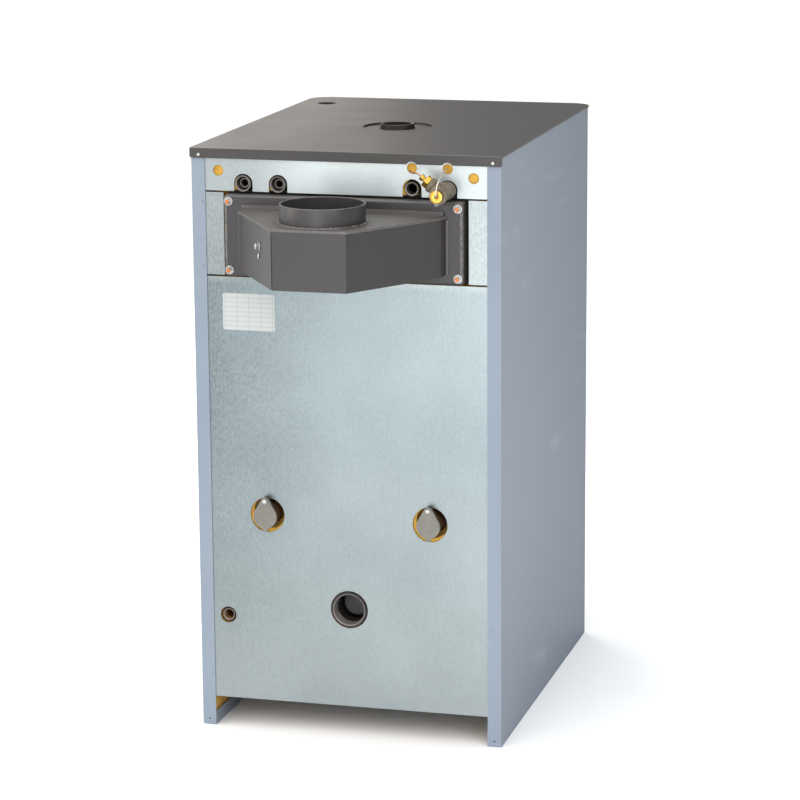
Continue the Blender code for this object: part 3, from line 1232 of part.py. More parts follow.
def cooling_coil():
    """Safety cooling loop above the fire box, its end collars soldered into the coil sockets."""
    start = COIL_SOCKET_STEP
    bend = (SOCKET_OUTER_X - SOCKET_INNER_X) / 2
    middle = (SOCKET_OUTER_X + SOCKET_INNER_X) / 2
    turn = [at(middle + bend * math.cos(a), COIL_REACH + bend * math.sin(a), SOCKET_Z)
            for a in [math.pi * index / 8 for index in range(9)]]
    points = [at(SOCKET_OUTER_X, start, SOCKET_Z)] + turn + [at(SOCKET_INNER_X, start, SOCKET_Z)]
    coil = wire("cooling_coil", points, COIL_RADIUS, COPPER, resolution=2)
    ends = (SOCKET_OUTER_X, SOCKET_INNER_X)
    for x in ends:
        fuse(coil, bore_across("coil_collar", x, SOCKET_Z, COIL_SOCKET_BORE - FIT,
                               (start - FIT, start + COIL_COLLAR)))
    for x in ends:
        cut(coil, bore_across("coil_end_bore", x, SOCKET_Z, COIL_BORE, (start - PAST, JACKET_REAR_DEPTH)))


# Tee with gauge connections


def tee_axis(depth):
    return at(TEE_AXIS_X, depth, SOCKET_Z)


def branch_point(distance):
    return tee_axis(-TEE_CENTRE) + BRANCH_DIRECTION * distance


def tee():
    """Malleable tee on the gauge socket: beaded run, spigot and an oblique branch."""
    body = rod("gauge_tee", tee_axis(-TEE_REAR), tee_axis(-TEE_FRONT), TEE_RUN_RADIUS, PIPE_IRON)
    spigot = rod("tee_spigot", tee_axis(TEE_SPIGOT), tee_axis(-TEE_REAR - TEE_BEAD / 2),
                 GAUGE_SOCKET_BORE - FIT)
    rear_bead = rod("tee_rear_bead", tee_axis(-TEE_REAR - FIT), tee_axis(-TEE_REAR - TEE_BEAD),
                    TEE_BEAD_RADIUS)
    front_bead = rod("tee_front_bead", tee_axis(-TEE_FRONT + TEE_BEAD), tee_axis(-TEE_FRONT - FIT),
                     TEE_BEAD_RADIUS)
    branch = rod("tee_branch", branch_point(0), branch_point(BRANCH_LENGTH), BRANCH_RADIUS)
    branch_bead = rod("tee_branch_bead", branch_point(BRANCH_LENGTH - BRANCH_BEAD),
                      branch_point(BRANCH_LENGTH + FIT), BRANCH_BEAD_RADIUS)
    fuse(body, spigot, rear_bead, front_bead, branch, branch_bead)
    cut(body, rod("tee_run_bore", tee_axis(TEE_SPIGOT + PAST), tee_axis(-TEE_FRONT - PAST), TEE_BORE),
        rod("tee_branch_bore", branch_point(0), branch_point(BRANCH_LENGTH + PAST), BRANCH_BORE))


def immersion_well():
    """Brass pocket in the end of the tee, with a round head bored for the feeler."""
    shoulder = TEE_FRONT + 2 * FIT
    stem, stem_radius = WELL_STEM, TEE_BORE - FIT
    neck_end = stem + WELL_NECK
    head_end = neck_end + WELL_HEAD
    profile = [(0, WELL_NECK), (WELL_BORE, WELL_NECK), (WELL_BORE, head_end), (WELL_HEAD_RADIUS, head_end),
               (WELL_HEAD_RADIUS, neck_end), (WELL_NECK_RADIUS, neck_end), (WELL_NECK_RADIUS, stem),
               (stem_radius, stem), (stem_radius, 0), (0, 0)]
    turned("immersion_well", profile, tee_axis(-shoulder + stem), (0, 1, 0), BRASS)


def gauge_gland():
    """Brass hexagon, neck and union nut on the branch, where the pressure capillary ends."""
    start = BRANCH_LENGTH + 2 * FIT
    hex_end = start + GLAND_HEX
    neck_end = hex_end + GLAND_NECK
    nut_end = neck_end + GLAND_NUT
    gland = rod("gauge_gland", branch_point(start), branch_point(hex_end), GLAND_HEX_RADIUS, BRASS, sides=6)
    tail = rod("gland_tail", branch_point(start - GLAND_TAIL), branch_point(start + GLAND_HEX / 2),
               BRANCH_BORE - FIT)
    neck = rod("gland_neck", branch_point(hex_end - GLAND_HEX / 2), branch_point(neck_end + GLAND_NUT / 2),
               GLAND_NECK_RADIUS)
    nut = rod("gland_nut", branch_point(neck_end), branch_point(nut_end), GLAND_NUT_RADIUS, sides=6)
    fuse(gland, tail, neck, nut)
    return nut_end


def capillaries(nut_end):
    """Pressure and temperature capillaries from the tee, under the cover, to the gauge."""
    gauge_top = GAUGE_Z + GAUGE_RADIUS + FIT
    drop = FASCIA_DEPTH - 0.011
    x, z = COPPER_WAY
    end = branch_point(nut_end + FIT)
    copper_route = [end, end + BRANCH_DIRECTION * 0.006 + Vector((0, -0.001, 0)),
                    at(x - 0.012, -0.024, z + 0.0005), at(x - 0.003, -0.010, z), at(x, 0.000, z)]
    in_wool = [at(x, WOOL_DEPTH + PAST, z), at(x, JACKET_FRONT_DEPTH, z)]
    to_gauge = [at(x, FRONT_PLATE_FACE + 0.004, z), at(x - 0.004, drop, z - 0.012),
                at(x - 0.012, drop, gauge_top + 0.012), at(x - 0.020, drop, gauge_top + 0.006)]
    gauge_entry = at(GAUGE_X + 0.010, drop, gauge_top + 0.0025)
    path = through(copper_route + in_wool[:1], 3) + through(in_wool[1:] + to_gauge + [gauge_entry], 3)
    wire("copper_capillary", path, CAPILLARY_RADIUS, COPPER)

    x, z = STEEL_WAY
    head = TEE_FRONT + 2 * FIT + WELL_NECK + WELL_HEAD
    over = SOCKET_Z + TEE_BEAD_RADIUS
    steel_route = [tee_axis(-head + 0.004), tee_axis(-head - 0.003),
                   at(TEE_AXIS_X - 0.002, -head - 0.009, SOCKET_Z + 0.006),
                   at(TEE_AXIS_X - 0.003, -head - 0.005, over + 0.002),
                   at(TEE_AXIS_X - 0.002, -head + 0.030, over + 0.016), at(x, -0.012, z - 0.001),
                   at(x, 0.000, z)]
    in_wool = [at(x, WOOL_DEPTH + PAST, z), at(x, JACKET_FRONT_DEPTH, z)]
    to_gauge = [at(x, FRONT_PLATE_FACE + 0.004, z), at(x + 0.004, drop, z - 0.012),
                at(x + 0.012, drop, gauge_top + 0.012), at(x + 0.018, drop, gauge_top + 0.006)]
    gauge_entry = at(GAUGE_X - 0.010, drop, gauge_top + 0.0025)
    path = through(steel_route + in_wool[:1], 3) + through(in_wool[1:] + to_gauge + [gauge_entry], 3)
    wire("steel_capillary", path, CAPILLARY_RADIUS, BRIGHT_STEEL)


def well_clip():
    """Spring wire round the neck of the well, with a loop to the side and one below."""
    depth = -TEE_FRONT - 2 * FIT - WELL_NECK / 2

    def polar(radius, degrees, shift=0):
        angle = math.radians(degrees)
        sideways = Vector((-math.sin(angle), 0, math.cos(angle))) * shift
        return tee_axis(depth) + Vector((math.cos(angle), 0, math.sin(angle))) * radius + sideways

    half = CLIP_LOOP_WIDTH / 2
    ring_radius = WELL_NECK_RADIUS + CLIP_RADIUS + 2 * FIT
    near, far = ring_radius + CLIP_RADIUS, CLIP_LOOP_REACH

    def loop(degrees):
        return [polar(near, degrees, half), polar(far - half, degrees, half), polar(far, degrees, 0),
                polar(far - half, degrees, -half), polar(near, degrees, -half)]

    ring = [polar(ring_radius, degrees) for degrees in range(210, 31, -20)]
    points = ring + loop(5) + [polar(ring_radius, degrees) for degrees in (-25, -50)] + loop(-82)
    wire("well_clip", points, CLIP_RADIUS, BRIGHT_STEEL)


# Secondary air inlets


def secondary_air(side_name, side):
    """Tube into the fire box with a teardrop seat, swinging cover and pivot rivet."""
    x = side * AIR_X
    eye_z = AIR_Z + COVER_EYE_RISE
    seat_face = -SEAT_PROUD
    outline = teardrop(COVER_DISC_RADIUS, COVER_EYE_RADIUS, COVER_EYE_RISE)
    placed = [(x + across, eye_z + up) for across, up in outline]
    seat = plate("air_inlet_" + side_name, placed, SEAT_PLATE, upright((seat_face, seat_face + SEAT_PLATE)),
                 CAST_GREY)
    tube_end = FIREBOX_REAR_DEPTH + FIREBOX_PLATE + AIR_TUBE_TAIL
    fuse(seat, bore_across("air_tube", x, AIR_Z, AIR_TUBE_RADIUS, (seat_face + SEAT_PLATE / 2, tube_end)))
    cut(seat, bore_across("air_tube_bore", x, AIR_Z, AIR_TUBE_BORE, (seat_face - PAST, tube_end + PAST)),
        bore_across("air_rivet_hole", x, eye_z, RIVET_RADIUS + FIT,
                    (seat_face - PAST, seat_face + SEAT_PLATE + PAST)))

    cover_back = seat_face - FIT
    cover_face = cover_back - COVER_PLATE
    cover = plate("air_cover_" + side_name, placed, COVER_PLATE, upright((cover_back, cover_face)), CAST_GREY)
    tab_top = AIR_Z - COVER_DISC_RADIUS
    tab = box("air_cover_tab", (x - COVER_TAB_WIDTH / 2, x + COVER_TAB_WIDTH / 2),
              (cover_back - FIT / 2, cover_face + FIT / 2), (tab_top - COVER_TAB, tab_top + COVER_TAB))
    fuse(cover, tab)
    cut(cover, bore_across("air_cover_eye", x, eye_z, RIVET_RADIUS + FIT,
                           (cover_back + PAST, cover_face - PAST)))
    pivot_at(cover, at(x, cover_back, eye_z))

    shank = SEAT_PLATE + COVER_PLATE + 3 * FIT + RIVET_TAIL
    dome = [(RIVET_HEAD_RADIUS * math.cos(a), shank + RIVET_HEAD * math.sin(a))
            for a in [math.pi / 2 * (1 - index / 4) for index in range(5)]]
    dome[0] = (0, dome[0][1])
    profile = dome + [(RIVET_RADIUS, shank), (RIVET_RADIUS, 0), (0, 0)]
    tail_end = seat_face + SEAT_PLATE + RIVET_TAIL - 2 * FIT
    turned("air_rivet_" + side_name, profile, at(x, tail_end, eye_z), (0, 1, 0), BRIGHT_STEEL)


side_panel("side_panel_right", 1)
side_panel("side_panel_left", -1)
top_cover()
rear_panels()
front_fascia()
mineral_wool()
water_jacket()
firebox()
grate()
ash_pan()
base_rails()
front_plate()
for door_name, door_opening in (("loading", LOADING_OPENING), ("ash", ASH_OPENING)):
    door_pan = door(door_name + "_door", door_opening)
    liner_block = door_liner(door_name + "_door_liner", door_opening)
    hinge_rod(door_name + "_hinge_rod", door_opening)
    latch_handle(door_name + "_handle", door_opening)
ash_door_air_inlet(door_pan, liner_block)
air_flap()
gauge()
flue_box()
flue_collar()
flue_gasket_and_duct()
flue_studs()
flue_test_plug()
pipe_sockets()
cooling_coil()
tee()
immersion_well()
capillaries(gauge_gland())
well_clip()
secondary_air("right", 1)
secondary_air("left", -1)
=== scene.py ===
"""Finish of a free-standing solid fuel boiler, seen from its pipe side."""
import json
import math
import random

import bpy
from mathutils import Matrix, Vector

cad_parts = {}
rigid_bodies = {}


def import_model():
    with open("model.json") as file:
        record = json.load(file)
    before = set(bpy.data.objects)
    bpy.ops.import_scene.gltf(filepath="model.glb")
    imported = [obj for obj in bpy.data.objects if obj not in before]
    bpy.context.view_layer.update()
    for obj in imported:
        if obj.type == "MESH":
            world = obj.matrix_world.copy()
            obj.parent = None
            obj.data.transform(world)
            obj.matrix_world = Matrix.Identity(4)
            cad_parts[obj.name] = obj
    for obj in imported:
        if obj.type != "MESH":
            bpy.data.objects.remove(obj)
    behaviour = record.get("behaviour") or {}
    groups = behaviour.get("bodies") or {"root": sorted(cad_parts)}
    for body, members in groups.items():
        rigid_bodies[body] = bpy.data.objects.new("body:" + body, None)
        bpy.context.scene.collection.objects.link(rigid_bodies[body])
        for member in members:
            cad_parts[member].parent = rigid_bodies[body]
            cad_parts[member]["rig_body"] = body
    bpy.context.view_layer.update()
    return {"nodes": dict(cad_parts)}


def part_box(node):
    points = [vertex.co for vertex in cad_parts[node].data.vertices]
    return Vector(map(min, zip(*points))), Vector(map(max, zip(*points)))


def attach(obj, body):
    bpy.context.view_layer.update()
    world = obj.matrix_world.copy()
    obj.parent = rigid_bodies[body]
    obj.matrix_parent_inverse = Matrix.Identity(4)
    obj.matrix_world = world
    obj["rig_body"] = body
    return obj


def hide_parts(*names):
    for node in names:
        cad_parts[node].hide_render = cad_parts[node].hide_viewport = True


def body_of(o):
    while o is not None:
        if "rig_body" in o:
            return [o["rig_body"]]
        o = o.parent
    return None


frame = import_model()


# Studio
# A white painted floor runs out of sight under soft boxes, and a long lens looks down on the
# back of the boiler from its left. The far end of the room is a little darker than the rest.
bpy.context.scene.view_settings.view_transform = "Standard"


class Tone:
    """A value or colour on its way into a finish. Arithmetic on values adds Math nodes."""

    def __init__(self, tree, socket):
        self.tree = tree
        self.socket = socket

    def node(self, kind, settings, inputs, out=0):
        made = self.tree.nodes.new("ShaderNode" + kind)
        for name, value in settings.items():
            setattr(made, name, value)
        for key, value in inputs.items():
            if isinstance(value, Tone):
                self.tree.links.new(value.socket, made.inputs[key])
            else:
                made.inputs[key].default_value = value
        return Tone(self.tree, made.outputs[out])

    def maths(self, operation, first, second):
        return self.node("Math", {"operation": operation}, {0: first, 1: second})

    def __add__(self, other):
        return self.maths("ADD", self, other)

    __radd__ = __add__

    def __mul__(self, other):
        return self.maths("MULTIPLY", self, other)

    __rmul__ = __mul__

    def __sub__(self, other):
        return self.maths("SUBTRACT", self, other)

    def __rsub__(self, other):
        return self.maths("SUBTRACT", other, self)

    def blend(self, low, high):
        """Colour that runs from low to high as this value runs from 0 to 1."""
        low, high = [end if isinstance(end, Tone) else shade(*end) for end in (low, high)]
        return self.node("Mix", {"data_type": "RGBA"}, {0: self, 6: low, 7: high}, 2)

    def between(self, low, high):
        """0 below low, 1 above high, and even in between."""
        return self.node("MapRange", {}, {"Value": self, "From Min": low, "From Max": high})

    def part(self, axis):
        """One of the three coordinates of a place."""
        return self.node("SeparateXYZ", {}, {"Vector": self}, "xyz".index(axis))

    def blotches(self, size, detail=3.0, stretch=(1, 1, 1)):
        """Cloudy value with patches of about this size in metres."""
        place = self.node("Mapping", {}, {"Vector": self, "Scale": stretch})
        return self.node("TexNoise", {}, {"Vector": place, "Scale": 1 / size, "Detail": detail})

    def relief(self, strength, depth):
        """Normal of a surface that this value raises by up to a depth in metres."""
        return self.node("Bump", {}, {"Height": self, "Strength": strength, "Distance": depth})


def shade(*card):
    """Colour from the three 8-bit values of a paint card."""
    linear = [(value / 255 + 0.055) ** 2.4 / 1.055 ** 2.4 if value > 10 else value / 3295 for value in card]
    return (*linear, 1)


def new_finish(name, fixed):
    """Start a finish with its fixed values, and hand back the place on the piece as well."""
    finish = bpy.data.materials.new(name)
    finish.use_nodes = True
    shader = finish.node_tree.nodes["Principled BSDF"]
    for socket, value in fixed.items():
        shader.inputs[socket].default_value = value
    place = finish.node_tree.nodes.new("ShaderNodeTexCoord")
    return finish, Tone(finish.node_tree, place.outputs["Object"])


def feed(finish, **tones):
    """Lead tones to the finish: colour, roughness or normal."""
    sockets = {"colour": "Base Color", "roughness": "Roughness", "normal": "Normal"}
    shader = finish.node_tree.nodes["Principled BSDF"]
    for name, tone in tones.items():
        finish.node_tree.links.new(tone.socket, shader.inputs[sockets[name]])


def mottled(name, fixed, low, high, size, detail=3.0, rough=None, relief=None, stretch=(1, 1, 1)):
    """Finish that wanders between two colours. Rough is the least roughness and how far it rises."""
    finish, place = new_finish(name, fixed)
    patches = place.blotches(size, detail, stretch)
    feed(finish, colour=patches.blend(low, high))
    if rough:
        feed(finish, roughness=rough[0] + patches * rough[1])
    if relief:
        feed(finish, normal=patches.relief(*relief))
    return finish


air = bpy.data.worlds.new("studio_air")
air.use_nodes = True
background = air.node_tree.nodes["Background"]
background.inputs["Color"].default_value = (1, 1, 1, 1)
bpy.context.scene.world = air
heading = Tone(air.node_tree, air.node_tree.nodes.new("ShaderNodeTexCoord").outputs["Generated"])
walls = 0.0
for wall, brightness, narrowness in (((0, 0, 1), 1.7, 5), ((0, 0.93, 0.37), 2.1, 2),
                                     ((0, -1, 0), 0.35, 2), ((1, 0, 0), 0.9, 2)):
    facing = heading.node("VectorMath", {"operation": "DOT_PRODUCT"}, {0: heading, 1: wall}, 1)
    facing = facing.maths("MAXIMUM", facing, 0.0)
    walls = facing.maths("POWER", facing, narrowness) * brightness + walls
air.node_tree.links.new(walls.socket, background.inputs["Strength"])


def soft_box(name, place, aim, size, watts, tint=(1, 1, 1)):
    """Hang a square soft box that lights the boiler and stays out of the picture."""
    bpy.ops.object.light_add(type="AREA", location=place)
    lamp = bpy.context.object
    lamp.name = name
    lamp.data.size = size
    lamp.data.energy = watts
    lamp.data.color = tint
    lamp.rotation_euler = (Vector(aim) - Vector(place)).to_track_quat("-Z", "Y").to_euler()
    lamp.visible_camera = False


warm, cool = (1, 0.93, 0.84), (0.82, 0.88, 1)
soft_box("low_box", (-0.1, 4.2, 0.5), (-0.15, 0.3, 0.9), 1.2, 22)
soft_box("left_box", (3.4, 1.4, 1.2), (0.1, 0.4, 0.9), 1.2, 26, warm)
soft_box("side_box", (-2.4, 3.0, 1.9), (-0.3, 0.2, 0.9), 1.2, 29, cool)
soft_box("cover_box", (1.0, -2.1, 1.6), (0.15, 0, 1.06), 0.8, 3.4, warm)
soft_box("front_box", (2.2, -3.2, 1.5), (0, -0.3, 0.5), 1.2, 20)
soft_box("top_box", (0.2, -0.4, 4.2), (0, 0, 0), 2.6, 48)

bpy.ops.object.camera_add(location=(-1.4650, 5.30225, 1.7808))
camera = bpy.context.object
camera.name = "long_lens"
camera.data.lens = 136.43
camera.data.sensor_width = 36
look = Vector((0.25698, -0.94175, -0.21693)).to_track_quat("-Z", "Y")
roll = Matrix.Rotation(math.radians(-0.413), 3, "Z").to_quaternion()
camera.rotation_mode = "QUATERNION"
camera.rotation_quaternion = look @ roll
bpy.context.scene.camera = camera


def pick(*pieces):
    """Select these pieces and no others, with the first of them active."""
    bpy.ops.object.select_all(action="DESELECT")
    for piece in pieces:
        piece.select_set(True)
    if pieces:
        bpy.context.view_layer.objects.active = pieces[0]


pick()
bpy.ops.mesh.primitive_plane_add(size=40)
floor = bpy.context.object
floor.name = "studio_floor"
floor.data.materials.append(mottled("floor_paint", {"Roughness": 0.7, "Specular IOR Level": 0.2},
                                    (250, 251, 251), (252, 253, 253), 0.6))


# Welded body
# Fire box, water jacket, smoke duct and front plate are welded from boiler plate that still has
# its mill scale, and two channels carry them. Only edges and the door openings show.
mill_steel, place = new_finish("mill_steel", {"Metallic": 0.55})
scale = place.blotches(0.035, 6)
rust = place.blotches(0.012, 8).between(0.58, 0.72)
feed(mill_steel, colour=(rust * 0.7).blend(scale.blend((62, 63, 66), (92, 93, 96)), (110, 78, 55)),
     roughness=0.42 + scale * 0.3, normal=scale.relief(0.35, 0.0006))


def add_modifier(piece, kind, **settings):
    added = piece.modifiers.new(kind.lower(), kind)
    for name, value in settings.items():
        setattr(added, name, value)
    return added


same_plane = math.radians(0.5)
sharp_edge = math.radians(40)
same_point = 0.00001


def dress(node, finish, edge=0.0):
    """Give a solid its finish, and ease its sharp edges."""
    solid = frame["nodes"][node]
    solid.material_slots[0].material = finish
    if edge > 0:
        add_modifier(solid, "WELD", merge_threshold=same_point)
        add_modifier(solid, "DECIMATE", decimate_type="DISSOLVE", angle_limit=same_plane)
        add_modifier(solid, "BEVEL", width=edge, segments=2, limit_method="ANGLE", angle_limit=sharp_edge)


for node in ("water_jacket", "firebox", "smoke_duct", "front_plate", "base_rail_right", "base_rail_left",
             "ash_pan"):
    dress(node, mill_steel)


# Grate
# Grey iron casting, rough from the sand, lying loose on two ledges above the ash pan.
cast_iron = mottled("cast_iron", {"Metallic": 0.35}, (70, 68, 66), (104, 101, 97), 0.003, 5, (0.6, 0.25),
                    (0.5, 0.0006))
dress("grate", cast_iron, 0.0015)


# Pipe sockets
# Screwed sockets of drawn iron tube, welded into the jacket plate. The face is turned clean, the
# mouth is countersunk and the bore carries the pipe thread.
pipe_iron, place = new_finish("pipe_iron", {"Metallic": 0.7})
soot = place.blotches(0.006, 5)
rust = place.blotches(0.010, 6).between(0.5, 0.75)
feed(pipe_iron, colour=(rust * 0.45).blend(soot.blend((40, 38, 37), (70, 66, 63)), (96, 62, 40)),
     roughness=0.35 + soot * 0.3, normal=soot.relief(0.3, 0.0004))
turned_face = mottled("turned_face", {"Metallic": 0.8}, (80, 77, 75), (132, 127, 123), 0.0022, 4, (0.32, 0.2))
worn_thread, place = new_finish("worn_thread", {"Metallic": 0.7})
marks = place.blotches(0.0022, 4)
rust = place.blotches(0.009, 5).between(0.48, 0.68)
feed(worn_thread, colour=(rust * 0.5).blend(marks.blend((56, 54, 53), (100, 96, 92)), (104, 74, 56)),
     roughness=0.3 + marks * 0.25)
rusted_thread = mottled("rusted_thread", {"Metallic": 0.1, "Roughness": 0.75}, (70, 46, 24), (150, 98, 48),
                        0.004, 5, relief=(0.6, 0.0006))

rearward = Vector((0, 1, 0))
upward = Vector((0, 0, 1))


def centre_of(node):
    low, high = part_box(node)
    return (low + high) / 2


def set_down(piece, centre, along):
    """Leave a piece's place in its mesh, with its own Z along a direction."""
    turn_to = Vector(along).to_track_quat("Z", "Y").to_matrix().to_4x4()
    piece.data.transform(Matrix.Translation(centre) @ turn_to)


def edit(*steps):
    """Work on the whole of the active mesh, one step after another."""
    bpy.ops.object.mode_set(mode="EDIT")
    for step, settings in steps:
        bpy.ops.mesh.select_all(action="SELECT")
        step(**settings)
    bpy.ops.object.mode_set(mode="OBJECT")


def merge(threshold):
    """Merge the doubles of the active mesh, drop loose edges and turn its faces outwards."""
    edit((bpy.ops.mesh.remove_doubles, {"threshold": threshold}), (bpy.ops.mesh.delete_loose, {}),
         (bpy.ops.mesh.normals_make_consistent, {"inside": False}))


def turn(name, outline, centre, along, steps=64, crease=35):
    """Spin a closed outline of (radius, height) points about an axis."""
    pick()
    bpy.ops.mesh.primitive_circle_add(vertices=len(outline))
    piece = bpy.context.object
    piece.name = name
    for vert, (radius, height) in zip(piece.data.vertices, outline):
        vert.co = (radius, 0, height)
    edit((bpy.ops.mesh.spin, {"steps": steps, "angle": math.tau, "center": (0, 0, 0), "axis": (0, 0, 1)}))
    merge(0.000002)
    bpy.ops.object.shade_smooth_by_angle(angle=math.radians(crease))
    set_down(piece, centre, along)
    return piece


def stands_for(piece, finish, node):
    """Let a piece stand for a solid on the solid's body. Without a finish it keeps those it has."""
    if finish:
        piece.data.materials.clear()
        piece.data.materials.append(finish)
    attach(piece, body_of(frame["nodes"][node])[0])
    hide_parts(node)


def screwed_socket(node, bore, pitch, turns, face_finish, bore_finish, stands=False):
    """Turn a socket whose thread starts at its mouth. The countersink at the mouth is always bright."""
    low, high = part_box(node)
    along = upward if stands else rearward
    length = (high - low).dot(along)
    mouth = centre_of(node) + along * length / 2
    radius = (high.x - low.x) / 2
    chamfer = 0.0007
    root = bore + pitch * 0.55
    sunk = root + 0.0006
    outline = [(sunk, 0), (radius - chamfer, 0), (radius, -chamfer), (radius, -length), (bore, -length)]
    for count in range(turns, 0, -1):
        crest = -count * pitch
        outline += [(bore, crest - pitch * 0.15), (bore, crest + pitch * 0.15), (root, crest + pitch * 0.5)]
    piece = turn(node + "_screwed", outline + [(bore, -pitch * 0.4)], mouth, along)
    stands_for(piece, pipe_iron, node)
    for finish in (face_finish, bore_finish, turned_face):
        piece.data.materials.append(finish)
    for face in piece.data.polygons:
        height = (face.center - mouth).dot(along)
        reach = (face.center - mouth - along * height).length
        if reach > sunk:
            face.material_index = 1 if height > -0.0002 else 0
        else:
            face.material_index = 3 if height > -pitch * 0.35 else 2


half_inch_pitch = 0.0018
two_inch_pitch = 0.0023
screwed_socket("coil_socket_outer", 0.0118, half_inch_pitch, 7, turned_face, pipe_iron)
screwed_socket("coil_socket_inner", 0.0118, half_inch_pitch, 7, turned_face, pipe_iron)
screwed_socket("sensor_socket", 0.0095, half_inch_pitch, 10, turned_face, pipe_iron)
screwed_socket("gauge_socket", 0.0105, half_inch_pitch, 6, turned_face, pipe_iron)
screwed_socket("return_socket", 0.0277, two_inch_pitch, 10, pipe_iron, worn_thread)
screwed_socket("drain_socket", 0.0088, half_inch_pitch, 8, worn_thread, rusted_thread)
screwed_socket("flow_socket", 0.0265, two_inch_pitch, 9, pipe_iron, pipe_iron, True)
screwed_socket("regulator_socket", 0.0120, half_inch_pitch, 9, pipe_iron, pipe_iron, True)


# Return deflector
# Small round plate of boiler plate behind the return socket, which turns the water aside.
deflector_steel = mottled("deflector_steel", {"Metallic": 0.2}, (58, 57, 58), (84, 82, 82), 0.004, 5,
                          (0.6, 0.2))


def ease(outline, radius):
    """Round the corners of a closed outline. Points on the axis stay as they are."""
    eased = []
    for index, corner in enumerate(outline):
        here = Vector(corner)
        back = Vector(outline[index - 1]) - here
        on = Vector(outline[(index + 1) % len(outline)]) - here
        if here.x < same_point:
            eased.append(corner)
            continue
        start = here + back.normalized() * min(radius, back.length * 0.45)
        end = here + on.normalized() * min(radius, on.length * 0.45)
        for part in (0, 0.33, 0.67, 1):
            eased.append(tuple((1 - part) ** 2 * start + 2 * part * (1 - part) * here + part ** 2 * end))
    return eased


def ring(inner, outer, bottom, top, rounding):
    """Outline of a ring, or of a full disc or peg where its inner radius is 0."""
    return ease([(inner, bottom), (outer, bottom), (outer, top), (inner, top)], rounding)


def adds(piece, finish, body="boiler"):
    """Finish a piece that has no solid of its own, and let it ride on a body."""
    piece.data.materials.append(finish)
    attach(piece, body)


return_at = centre_of("return_socket")
deflector_at = Vector((return_at.x - 0.003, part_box("return_socket")[0].y + 0.004, return_at.z + 0.003))
deflector = turn("return_deflector", ring(0, 0.0225, 0, 0.003, 0.0006), deflector_at, rearward, 48)
adds(deflector, deflector_steel)


# Safety cooling loop
# Tube bent into a loop in the top of the jacket. Its ends are brazed into blackened collars in the
# coil sockets, and each collar carries a short nozzle whose turned face is paler.
blackened = mottled("blackened_collar", {"Metallic": 0.6}, (30, 28, 27), (58, 54, 51), 0.004, 5, (0.45, 0.25))
dress("cooling_coil", blackened)
nozzle_iron = mottled("nozzle_iron", {"Metallic": 0.7}, (86, 83, 80), (134, 129, 125), 0.002, 4, (0.35, 0.2))
rear_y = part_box("side_panel_right")[1].y


def at(x, depth, z):
    """Point at a depth behind the rear plane of the casing."""
    return Vector((x, rear_y - depth, z))


for node in ("coil_socket_outer", "coil_socket_inner"):
    middle = centre_of(node)
    nozzle = turn(node + "_nozzle", ring(0.0064, 0.0088, 0, 0.0060, 0.0007), at(middle.x, 0.0156, middle.z),
                  rearward, 48)
    adds(nozzle, nozzle_iron)


# Mineral wool
# Yellow wool slabs fill the space between jacket and casing. They are cut with a knife, so their
# faces are lumpy, and the fibres lie in loose layers.
mineral_wool, place = new_finish("mineral_wool", {"Roughness": 0.95, "Sheen Weight": 0.08})
fibres = place.blotches(0.0022, 6, (1, 1, 2.6))
clumps = place.blotches(0.014, 4)
feed(mineral_wool, colour=(fibres * 0.7 + clumps * 0.5 - 0.1).blend((164, 106, 16), (234, 190, 84)),
     normal=fibres.relief(0.8, 0.0015))


def work(piece, kind, **settings):
    """Add a modifier with its settings, and apply it."""
    bpy.context.view_layer.objects.active = piece
    bpy.ops.object.modifier_apply(modifier=add_modifier(piece, kind, **settings).name)


def join_or_cut(piece, operation, *others):
    """Weld other meshes to a piece, or cut them out of it."""
    for other in others:
        work(piece, "BOOLEAN", operation=operation, object=other)
        bpy.data.objects.remove(other, do_unlink=True)
    pick(piece)


def copy_of(node, name):
    """Copy of a solid's mesh, with its loose triangles merged."""
    copy = bpy.data.objects.new(name, frame["nodes"][node].data.copy())
    bpy.context.collection.objects.link(copy)
    pick(copy)
    edit((bpy.ops.mesh.remove_doubles, {"threshold": same_point}))
    return copy


def block(low, high):
    """Block between two corners, to cut with."""
    pick()
    bpy.ops.mesh.primitive_cube_add(size=1, location=(low + high) / 2)
    bpy.context.object.scale = high - low
    bpy.ops.object.transform_apply(location=True, rotation=True, scale=True)
    return bpy.context.object


def slot_knife(x_range, depth, z_range):
    """Block that cuts a slot into the rear slab."""
    return block(at(min(x_range), depth, z_range[0]), at(max(x_range), -0.01, z_range[1]))


def pocket_knife(x, z, radius, depth):
    """Round plug that cuts a pocket into the rear slab."""
    plug = [(0, -depth), (radius, -depth), (radius, 0.02), (0, 0.02)]
    return turn("pocket", plug, at(x, 0, z), rearward, 40)


def wool_slab(node, voxel, pockets=()):
    """Lumpy slab, with its pockets, that keeps within the space that its plain solid holds."""
    slab = copy_of(node, node + "_slab")
    join_or_cut(slab, "DIFFERENCE", *pockets)
    work(slab, "REMESH", mode="VOXEL", voxel_size=voxel)
    lumps = bpy.data.textures.new(node + "_lumps", "CLOUDS")
    lumps.noise_scale = 0.016
    work(slab, "DISPLACE", texture=lumps, texture_coords="LOCAL", mid_level=1.0, strength=0.0045)
    bpy.ops.object.shade_smooth()
    stands_for(slab, mineral_wool, node)


